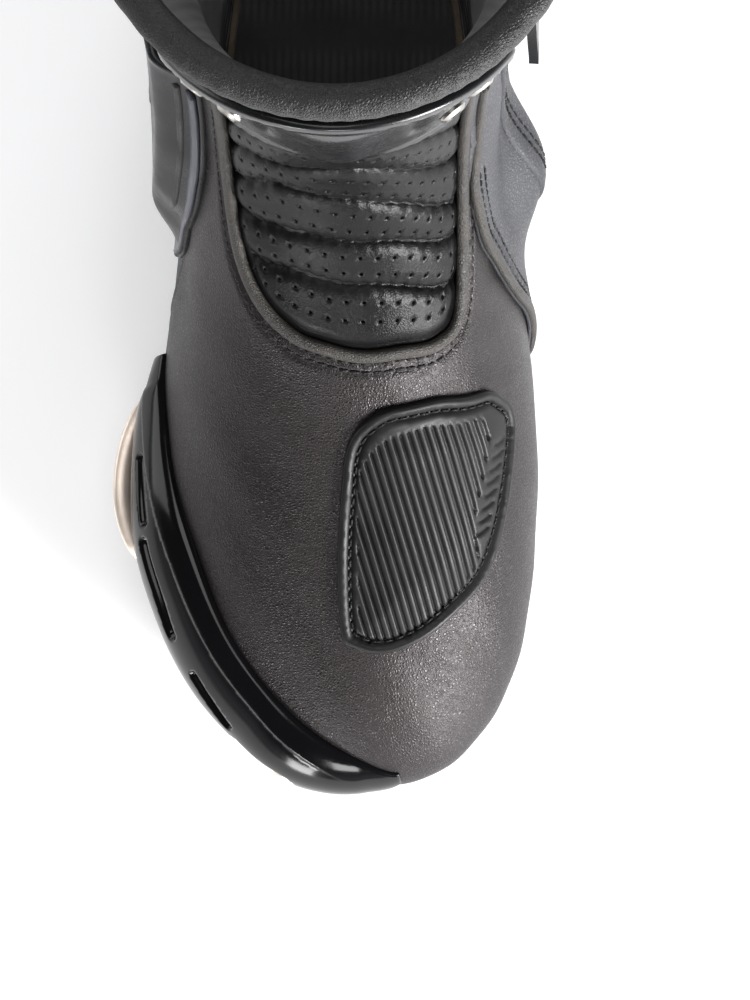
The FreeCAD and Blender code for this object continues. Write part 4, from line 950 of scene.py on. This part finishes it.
def make_collar():
    """The padded roll round the rim, gathered a little along its stitched line."""
    radius, count, sides = 3.75, 420, 22
    v = np.linspace(0, TURN, count, endpoint=False)
    centre = skin(v, TOP, -2.8)
    outward = unit(skin(v, TOP, 1.0) - skin(v, TOP, 0.0))
    ahead = unit(np.roll(centre, -1, axis=0) - np.roll(centre, 1, axis=0))
    upward = np.cross(ahead, outward)
    turn = 2 * math.pi * np.arange(sides) / sides
    pucker = 1 - 0.05 * (0.5 + 0.5 * np.sin(v * 26 + 1.3 * np.sin(v * 5)))[:, None] * (np.cos(turn) > 0.2)
    ring = centre[:, None] + radius * pucker[..., None] * (np.cos(turn)[:, None] * outward[:, None]
                                                           + np.sin(turn)[:, None] * upward[:, None])
    faces = [(i * sides + j, i * sides + (j + 1) % sides, (i + 1) % count * sides + (j + 1) % sides,
              (i + 1) % count * sides + j) for i in range(count) for j in range(sides)]
    piece = make_object("collar_padding", ring.reshape(-1, 3), [f[::-1] for f in faces], COLLAR)
    finish_piece(piece, "shaft", "collar_fabric", "collar_roll")


def make_lining():
    """The sock inside, an open tube with a thickness."""
    columns, rows = 140, 70
    v = np.linspace(0, TURN, columns, endpoint=False)
    t = np.linspace(0.22, SHAFT_TOP, rows)
    walls = [skin(*np.meshgrid(v, t), offset * np.ones((rows, columns))).reshape(-1, 3) for offset in (-3.4,
                                                                                                       -5.6)]
    outer, inner = 0, rows * columns
    faces = []
    for i in range(rows - 1):
        for j in range(columns):
            k = (j + 1) % columns
            a, b = i * columns, (i + 1) * columns
            faces.append((outer + a + j, outer + a + k, outer + b + k, outer + b + j))
            faces.append((inner + b + j, inner + b + k, inner + a + k, inner + a + j))
    for row, flip in ((0, 1), (rows - 1, -1)):
        for j in range(columns):
            k = (j + 1) % columns
            a = row * columns
            faces.append((inner + a + j, inner + a + k, outer + a + k, outer + a + j)[::flip])
    piece = make_object("lining_sock_fabric", np.vstack(walls), faces, LINING)
    finish_piece(piece, "bends", "lining_fabric", "lining_sock")


# ---------------------------------------------------------------- rubber shift pad


def plan(points, start):
    """The (v, t) of points given as x, y on the upper's top, by Newton's method."""
    target = np.asarray(points, float)
    vt = np.tile(np.asarray(start, float), (len(target), 1))
    for _ in range(14):
        miss = target - form(*vt.T)[:, :2]
        across, up = slopes(*vt.T)
        det = across[:, 0] * up[:, 1] - across[:, 1] * up[:, 0]
        dv = (miss[:, 0] * up[:, 1] - miss[:, 1] * up[:, 0]) / det
        dt = (across[:, 0] * miss[:, 1] - across[:, 1] * miss[:, 0]) / det
        vt = vt + np.clip(np.column_stack([dv, dt]), -0.4, 0.4)
    return vt


# The pad's border and its field of ribs, as x, y points seen from above, in millimetres.
PAD_BORDER = [(3.2, -110.5), (-0.9, -106.5), (-1.9, -88), (-0.9, -69), (0.8, -56.5), (5.4, -50.3),
              (13, -46.5),
              (25, -44), (36, -42), (41.5, -43.6), (44.2, -49), (43.8, -62), (41.5, -78), (37.6, -90.4),
              (29, -101), (18, -109.3), (10, -111.8)]
RIB_FIELD = [(3.8, -108.2), (3.1, -92), (3.0, -67), (5, -60.3), (8.5, -55.8), (14, -53), (23, -50.6),
             (33, -49),
             (36.8, -50.4), (36.9, -56), (35.2, -67), (33.8, -75), (35.2, -86.5), (32.6, -92.2), (26, -100.2),
             (16.5, -107.4), (9, -108.6)]
RIB_PITCH, RIB_LEAN = 2.12, math.radians(16.5)


class RibChart:
    """Flattens the pad by its plan, turned so that the ribs run along one axis."""

    across = np.array([math.cos(RIB_LEAN), math.sin(RIB_LEAN)])
    turn = np.array([across, (-across[1], across[0])])

    def flat(self, vt):
        return form(*vt.T)[:, :2] @ self.turn.T

    def lift(self, sr):
        return plan(sr @ self.turn, (1.2, 3.2))


def make_shift_pad():
    """The moulded pad under the shift lever: a bead, a stitched channel, a land and a field of thin ribs."""
    border = round_loop(plan(PAD_BORDER, (1.2, 3.2))[::-1], 0.8)
    land = round_loop(plan(RIB_FIELD, (1.2, 3.2))[::-1], 0.8)
    channel = shifted(border, 3.4, closed=True)
    chart = RibChart()
    low, high = chart.flat(border).min(0), chart.flat(border).max(0)
    s, r = np.meshgrid(np.arange(low[0], high[0], RIB_PITCH / 7), np.arange(low[1], high[1], 0.62))
    lattice = np.column_stack([s.ravel(), r.ravel()])
    spots = chart.lift(lattice[inside(lattice, chart.flat(land))])
    ticks = [line_on([plan([a], (1.6, 3))[0], plan([b], (1.6, 3))[0]], 0.4) for a, b in
             (((41.6 - 0.62 * k, -54 - 3.4 * k), (38.6 - 0.62 * k, -56 - 3.4 * k)) for k in range(8))]

    def height(p):
        bead = 0.6 * np.sqrt(np.clip(1 - ((p.edge - 1.25) / 1.4) ** 2, 0, 1))
        base = 1.7 + 0.8 * smooth_step(p.edge, 3, 16)
        dip = groove(p.to(channel, True), 0.6, 1.1)
        place = chart.flat(np.column_stack([p.v, p.t]))
        in_field = inside(np.column_stack([p.v, p.t]), land) * smooth_step(p.to(land, True), 0.0, 0.7)
        phase = np.abs((place[:, 0] - low[0]) / RIB_PITCH % 1 - 0.5) * 2
        gap = 1.0 * smooth_step(phase, 0.58, 0.95) + 0.3 * phase**2
        mark = sum(groove(p.to(tick), 0.45, 0.6) for tick in ticks)
        return base + bead + dip - in_field * gap + mark

    rows = [channel, shifted(channel, 0.6, closed=True), shifted(channel, -0.6, closed=True), land,
            shifted(land, 0.6, closed=True), shifted(border, 1.35, closed=True), shifted(border, 2.6,
                                                                                         closed=True)]
    rows += [shifted(tick, d) for tick in ticks for d in (-0.35, 0, 0.35)]
    piece = panel("shift_pad_rubber", border, PAD_RUBBER, height, 2.9, 0.9, 0.8, rows=rows, spots=spots,
                  chart=chart)
    finish_piece(piece, "foot", "pad_rubber", "shift_pad")
    thread = stitches("shift_pad_stitching", [closed_up(channel)], THREAD, 1.1, 3.0, 2.2, 0.34)
    finish_piece(thread, "foot", "binding_leather")


# ---------------------------------------------------------------- moulded shells

FRAME_LOW = [(-3.45, 0.75), (-3.0, 0.3), (-2.2, 0.1), (-1.3, 0.1), (-0.6, 0.25), (-0.1, 0.8), (0.2, 1.3)]
FRAME_HIGH = [(-3.42, 1.5), (-3.0, 1.92), (-2.4, 2.19), (-1.6, 2.16), (-0.9, 2.05), (-0.3, 1.88), (0.2, 1.6)]
FRAME_RISE = [(-3.45, 2.6), (-3.32, 5.0), (-3.2, 7.6), (-2.7, 9.9), (-2.2, 8.2), (-1.6, 6.3), (-1.35, 5.8),
              (-1.2, 6.2),
              (-1.0, 6.8), (-0.75, 6.6), (-0.5, 5.2), (-0.25, 3.4), (-0.1, 2.2), (0.2, 0.9)]
BAND_WIDTH = 6.5
# Recesses in the frame, each a slot round a short line, with its half width and depth.
SLOTS = [
    ([(-2.98, 1.5), (-2.85, 1.56), (-2.7, 1.58)], 1.5, 2.0),
    ([(-2.6, 1.5), (-2.35, 1.5), (-2.12, 1.42)], 1.7, 2.6),
    ([(-1.82, 1.42), (-1.6, 1.36), (-1.42, 1.28)], 1.3, 1.8),
    ([(-1.24, 0.92), (-1.02, 0.96), (-0.84, 0.98)], 3.4, 2.2),
]


def along_list(pairs, x):
    """A smooth curve through (x, y) pairs, read at x."""
    return np.interp(x, *smooth_line(pairs).T)


def frame_share(v, t):
    """How far up the frame a place is, from 0 at its low border to 1 at its high one."""
    low, high = along_list(FRAME_LOW, v), along_list(FRAME_HIGH, v)
    return np.clip((t - low) / (high - low), 0, 1)


def make_toe_frame():
    """The slider frame, all in gloss: a band along its top, stepped down to a body with slots below."""
    edges = [FRAME_LOW, straight(FRAME_LOW[-1], FRAME_HIGH[-1]), FRAME_HIGH[::-1],
             straight(FRAME_HIGH[0], FRAME_LOW[0])]
    top = line_on(FRAME_HIGH, 0.8)
    crease = shifted(top, -BAND_WIDTH)
    slots = [(line_on(points, 0.5), width, depth) for points, width, depth in SLOTS]

    def height(p):
        rise = along_list(FRAME_RISE, p.v)
        body = 0.8 + (rise - 0.8) * np.sin(math.pi * frame_share(p.v, p.t)) ** 0.62
        below = smooth_step(p.to(top), BAND_WIDTH - 0.4, BAND_WIDTH + 0.4) * smooth_step(-p.v, 0.3, 1.0)
        body = body - 0.7 * below * smooth_step(p.edge, 0.5, 2.5)
        for line, width, depth in slots:
            body = body - depth * (1 - smooth_step(p.to(line), width - 0.35, width + 0.35))
        return np.maximum(body, 0.9)

    rows = [crease, shifted(crease, 0.4), shifted(crease, -0.4)]
    for line, width, _ in slots:
        for side in (-1, 1):
            rows += [shifted(line, side * (width + d)) for d in (-0.35, 0, 0.35)]
    piece = panel("toe_slider_shell", edges, GLOSS, height, 1.6, 0.65, 1.0, rows=rows)
    finish_piece(piece, "foot", "gloss_shell", "toe_slider_frame")


PLATE_EDGE = [(-3.27, 0.76), (-3.16, 0.56), (-3.0, 0.45), (-2.86, 0.42), (-2.7, 0.46), (-2.58, 0.62),
              (-2.56, 0.72),
              (-2.64, 0.86), (-2.8, 0.96), (-2.95, 0.98), (-3.12, 0.94), (-3.24, 0.86)]
PLATE_MIDDLE, PLATE_REACH = -2.92, 0.38


def frame_height(v, t):
    return 0.8 + (along_list(FRAME_RISE, v) - 0.8) * np.sin(math.pi * frame_share(v, t)) ** 0.62


def plate_height(v, t):
    """How far the wear plate's face is from the skin: a lens that stands proud of the frame."""
    lens = np.clip(1 - ((v - PLATE_MIDDLE) / PLATE_REACH) ** 2, 0, 1)
    return frame_height(v, np.maximum(t, 0.62)) + 0.9 + 3.6 * lens


def make_wear_plate():
    """The metal wear plate on the widest part of the frame."""
    edge = round_loop(PLATE_EDGE, 0.6)
    piece = panel("toe_slider_metal", edge, CHAMPAGNE, lambda p: plate_height(p.v, p.t), 4.5, 0.8, 1.0)
    finish_piece(piece, "foot", "slider_metal", "toe_slider_plate")


WING_FRONT = [(-3.72, 2.0), (-3.57, 2.7), (-3.29, 3.55), (-2.98, 4.15), (-2.8, 4.6), (-2.66, 5.02),
              (-2.6, 5.5),
              (-2.62, 5.85)]
WING_BACK = [(-3.5, 5.85), (-3.55, 5.2), (-3.7, 4.5), (-3.9, 3.8), (-4.02, 3.1), (-3.96, 2.4), (-3.88, 1.98)]


def make_ankle_wing():
    """The moulded wing before the lateral ankle hinge: a body, a raised satin rim and a textured strip."""
    front = line_on(WING_FRONT, 0.8)
    edges = [straight(WING_BACK[-1], WING_FRONT[0]), WING_FRONT, straight(WING_FRONT[-1], WING_BACK[0]),
             WING_BACK]
    low_tip, high_tip = 2.0, 3.3
    back = line_on(WING_BACK, 0.8)

    def height(p):
        grow = smooth_step(p.t, low_tip, high_tip)
        dome = smooth_step(p.to(front), 1.0, 12) * smooth_step(p.to(back), -1.0, 9)
        return 1.2 + (0.6 + 8.0 * dome) * grow

    crease = [shifted(front, d) for d in (4.0, 8.0)]
    piece = panel("ankle_wing_lateral", edges, SATIN, height, 3.4, 1.0, 1.2, rows=crease)
    finish_piece(piece, "bends", "gloss_shell")
    rim = shifted(front[3:-3], 1.9)
    taper = np.clip(np.linspace(0.15, 1.6, len(rim)), 0, 1)
    piece = tapered("ankle_wing_rim", rim, 4.0 * taper, 1.0 + 1.3 * taper, 0.9, RIM_BLUE)
    finish_piece(piece, "bends", "matte_shell")
    strip = shifted(front[14:-3], 6.2)
    taper = np.clip(np.linspace(0.25, 2.2, len(strip)), 0, 1)
    piece = tapered("ankle_wing_strip", strip, 3.4 * taper, 1.8 + 2.4 * taper, 1.4, MATT)
    finish_piece(piece, "bends", "matte_shell")


def tapered(name, line, widths, lifts, height, material):
    """A low rounded strip whose width changes along its line."""
    angles = np.linspace(0, math.pi, 9)
    section = [(math.cos(a), math.sin(a) ** 0.5) for a in angles] + [(-0.9, -0.7), (0.9, -0.7)]
    side = (shifted(line, 0.5) - line) / 0.5
    lanes = []
    for x, y in section:
        vt = line + side * (x * widths / 2)[:, None]
        lanes.append(skin(*vt.T, lifts + y * height * np.sqrt(widths / widths.max())))
    return swept(name, lanes, material)


SHELL_FACE, SHELL_THICKNESS = 2.9, 2.6


def mirrored(half, middle):
    """An outline from its half on the side of larger v."""
    return [(middle + v, t) for v, t in half] + [(middle - v, t) for v, t in half[-2:0:-1]]


def moulded(name, edge, seats, shape, *nodes, body="shaft"):
    """A hard plate with a raised border, flat round its screws."""
    loop = round_loop(edge, 1.0)

    def height(p):
        free = SHELL_FACE + shape(p) + 0.7 * np.exp(-(((p.edge - 2.2) / 1.1) ** 2))
        for v, t in seats:
            flat = smooth_step(np.linalg.norm(p.xyz - form(v, t), axis=1), 4.6, 7.0)
            free = SHELL_FACE - 0.05 + (free - SHELL_FACE + 0.05) * flat
        return free

    piece = panel(name, loop, SHELL_SATIN, height, SHELL_THICKNESS, 1.1, 0.8)
    finish_piece(piece, body, "gloss_shell", *nodes)


def make_plates():
    """The shin and calf plates and the heel cup."""
    half = [(0, 6.85), (0.9, 6.82), (1.7, 6.765), (1.88, 6.86), (1.92, 7.3), (1.96, 7.9), (1.97, 8.38),
            (1.8, 8.535),
            (1.0, 8.67), (0, 8.72)]
    edge = mirrored(half, 0)

    def shin(p):
        window = smooth_step(p.t, 7.0, 7.15) * (1 - smooth_step(p.t, 8.25, 8.4))
        ridge = 2.4 * np.exp(-((p.v / 0.42) ** 2)) * smooth_step(p.edge, 1, 9)
        return ridge - 0.9 * np.exp(-(((np.abs(p.v) - 0.95) / 0.13) ** 2)) * window

    moulded("shin_plate_shell", edge, [(s * 1.5, t) for s in (-1, 1) for t in (7.05, 8.35)], shin,
            "shin_plate")
    half = [(0, 6.4), (0.5, 6.42), (0.86, 6.5), (0.95, 6.7), (0.93, 7.2), (0.88, 7.8), (0.78, 8.02),
            (0.4, 8.12), (0, 8.15)]
    edge = mirrored(half, 7)

    def calf(p):
        return 2.0 * np.exp(-(((p.v - 7) / 0.2) ** 2)) * smooth_step(p.edge, 1, 8)

    moulded("calf_plate_shell", edge, [(7 + s * 0.62, t) for s in (-1, 1) for t in (6.75, 7.8)], calf,
            "calf_plate")
    half = [(0, 0.1), (0.8, 0.1), (1.6, 0.1), (2.2, 0.12), (2.37, 0.4), (2.42, 1.8), (2.48, 3.15),
            (2.34, 3.42),
            (1.9, 3.3), (1.0, 3.06), (0, 3.0)]
    edge = mirrored(half, 7)
    vents = [line_on([(7 + s * 0.95, t), (7 + s * 1.5, t + 0.06), (7 + s * 1.95, t + 0.14)], 0.8)
             for s in (-1, 1) for t in (0.95, 1.55, 2.15)]
    vents = [line if line[0, 0] < line[-1, 0] else line[::-1] for line in vents]

    def heel(p):
        slots = sum(1 - smooth_step(p.to(line), 1.5, 2.3) for line in vents)
        return 1.1 * smooth_step(p.edge, 2, 16) - 1.2 * slots

    moulded("heel_cup_shell", edge, [], heel, "heel_cup", body="foot")


def make_screw_heads():
    """The three button heads of the toe slider, each with a hexagonal socket."""
    seats = [(v, t, plate_height(v, t) - 0.5) for v, t in ((-3.08, 0.68), (-2.76, 0.68))]
    seats.append((-0.84, 0.98, frame_height(-0.84, 0.98) - 1.9))
    turn = 2 * math.pi * np.arange(48) / 48
    hexagon = 1.35 / np.cos((turn + math.pi / 6) % (math.pi / 3) - math.pi / 6)
    rings = [(3.0, -1.2), (3.0, 0.5), (2.75, 0.85), (2.2, 1.1), (hexagon, 1.2), (hexagon, 0.2), (0.05, 0.2)]
    vertices, faces = [], []
    for v, t, height in seats:
        v, t = np.float64(v), np.float64(t)
        centre, out = skin(v, t, height), normal(v, t)
        side = unit(np.cross(out, (0, 0, 1)))
        up = np.cross(side, out)
        base = len(vertices)
        for radius, z in rings:
            radius = np.broadcast_to(radius, turn.shape)
            vertices += list(centre + out * z + (radius * np.cos(turn))[:, None] * side
                             + (radius * np.sin(turn))[:, None] * up)
        for i in range(len(rings) - 1):
            for j in range(48):
                k = (j + 1) % 48
                a, b = base + i * 48, base + (i + 1) * 48
                faces.append((a + k, a + j, b + j, b + k))
        faces.append(tuple(base + j for j in range(48)))
        faces.append(tuple(base + (len(rings) - 1) * 48 + j for j in range(47, -1, -1)))
    piece = make_object("toe_slider_screw_heads", vertices, faces, CHAMPAGNE, sharp=35)
    finish_piece(piece, "foot", "screw_steel", "toe_slider_screws")


# ---------------------------------------------------------------- carried-over CAD nodes


def dress_nodes():
    paint(SHELL_SATIN, "ankle_brace_lateral", "ankle_brace_medial")
    paint(SATIN, "ankle_cup_lateral", "ankle_cup_medial", "pivot_pin_lateral", "pivot_pin_medial")
    paint(CHAMPAGNE, "heel_slider")
    paint(STEEL, "heel_slider_screws", "shin_plate_screws", "calf_plate_screws",
          "brace_screws_lateral", "brace_screws_medial", "shank")
    paint(TREAD, "outsole")
    paint(SIDEWALL, "midsole")
    paint(BOARD, "insole_board", "toe_puff", "heel_counter")
    paint(FOOTBED, "footbed")
    paint(PILE, "tab_hook_patch", "tab_loop_patch", "zip_gusset")
    paint(WEBBING, "zip_tape_front", "zip_tape_rear", "tab_anchor", "pull_loop")
    paint(ZIP_PLASTIC, "zip_teeth_front", "zip_teeth_rear", "zip_stops")
    paint(ZIP_METAL, "zip_slider")
    paint(PAD_RUBBER, "zip_pull")
    paint(LINING, "ankle_pad_lateral", "ankle_pad_medial", "shin_pad")
    soften(0.6, "ankle_brace_lateral", "ankle_brace_medial", "midsole", "heel_slider", "ankle_cup_lateral",
           "ankle_cup_medial")
    soften(0.25, "pivot_pin_lateral", "pivot_pin_medial", "zip_slider", "zip_pull", "pull_loop", "tab_anchor")


TAB_LOW, TAB_HIGH, TAB_HINGE, TAB_TIP = 8.26, 8.84, 5.86, 3.55


def make_closure_tab():
    middle = (TAB_LOW + TAB_HIGH) / 2
    tip = [(TAB_TIP + 0.12, TAB_HIGH), (TAB_TIP, middle), (TAB_TIP + 0.12, TAB_LOW)]
    edges = [straight(tip[-1], (TAB_HINGE, TAB_LOW)), straight((TAB_HINGE, TAB_LOW), (TAB_HINGE, TAB_HIGH)),
             straight((TAB_HINGE, TAB_HIGH), tip[0]), tip]
    border = shifted(loop_of(edges, 0.8), 2.2, closed=True)

    def height(p):
        return 4.1 + groove(p.to(border, True), 0.7, 0.35)

    piece = panel("closure_tab_leather", edges, PANEL, height, 1.8, 1.1, 0.7, rows=[border])
    finish_piece(piece, "closure_tab", "panel_leather", "closure_tab")
    hinge_side = border[:, 0] > border[:, 0].max() - 0.06
    after_hinge = np.flatnonzero(hinge_side)[-1] + 1
    row = np.roll(border, -after_hinge, axis=0)[: len(border) - hinge_side.sum()]
    thread = stitches("closure_tab_stitching", [row], THREAD, 3.9)
    finish_piece(thread, "closure_tab", "binding_leather")


# ---------------------------------------------------------------- stage, light, camera


def make_stage():
    bpy.ops.mesh.primitive_plane_add(size=30, location=(0, 0, -0.0005))
    floor = bpy.context.object
    floor.name = "floor"
    ground = Shader("floor_paper", (0.86, 0.86, 0.87), 0.7)
    ground.tint(ground.noise(4, 2), (0.84, 0.84, 0.85), (0.88, 0.88, 0.89))
    ground.bsdf.inputs["Emission Color"].default_value = (1, 1, 1, 1)
    ground.bsdf.inputs["Emission Strength"].default_value = 0.3
    floor.data.materials.append(ground.material)
    world = bpy.context.scene.world or bpy.data.worlds.new("studio")
    bpy.context.scene.world = world
    world.use_nodes = True
    tree = world.node_tree
    background = tree.nodes["Background"]
    height = tree.nodes.new("ShaderNodeSeparateXYZ")
    tree.links.new(tree.nodes.new("ShaderNodeTexCoord").outputs["Generated"], height.inputs[0])
    ramp = tree.nodes.new("ShaderNodeMapRange")
    tree.links.new(height.outputs["Z"], ramp.inputs["Value"])
    for key, value in (("From Min", 0.08), ("From Max", 0.3), ("To Min", 0.56), ("To Max", 0.1)):
        ramp.inputs[key].default_value = value
    tree.links.new(ramp.outputs["Result"], background.inputs["Strength"])
    background.inputs["Color"].default_value = (0.95, 0.97, 1.0, 1)
    for name, place, size, power in (
        ("overhead", (-0.1, 0.1, 1.8), 1.0, 10),
        ("key", (0.84, -0.73, 0.42), 0.42, 30),
        ("strip", (-0.36, -0.92, 0.1), 0.22, 3.0),
        ("nose", (0.02, -1.0, 0.5), 0.22, 2.4),
        ("left", (-1.1, 0.3, 0.5), 0.7, 4),
        ("back", (0.3, 1.2, 0.7), 0.7, 7),
    ):
        light = bpy.data.lights.new(name, "AREA")
        light.energy, light.size = power, size
        lamp = bpy.data.objects.new(name, light)
        lamp.location = place
        lamp.visible_camera = False
        bpy.context.collection.objects.link(lamp)
        lamp.rotation_euler = (Vector((0, 0, 0.1)) - Vector(place)).to_track_quat("-Z", "Y").to_euler()


def make_colour():
    """Plain colour management, so that black leather stays black beside a pale floor."""
    bpy.context.scene.view_settings.view_transform = "Standard"


def make_camera():
    """Straight down on the forefoot, as a shopper looks at the boot on a table."""
    data = bpy.data.cameras.new("camera")
    data.sensor_fit, data.sensor_height, data.lens = "VERTICAL", 36, 125.06
    camera = bpy.data.objects.new("camera", data)
    camera.location = (0.008, -0.071, 1.0)
    bpy.context.collection.objects.link(camera)
    bpy.context.scene.camera = camera


make_vamp()
make_piping()
make_accordion()
make_medial_panels()
make_lateral_quarter()
make_achilles()
make_shaft()
make_collar()
make_lining()
make_shift_pad()
make_toe_frame()
make_wear_plate()
make_ankle_wing()
make_plates()
make_screw_heads()
make_closure_tab()
dress_nodes()
make_stage()
make_colour()
make_camera()
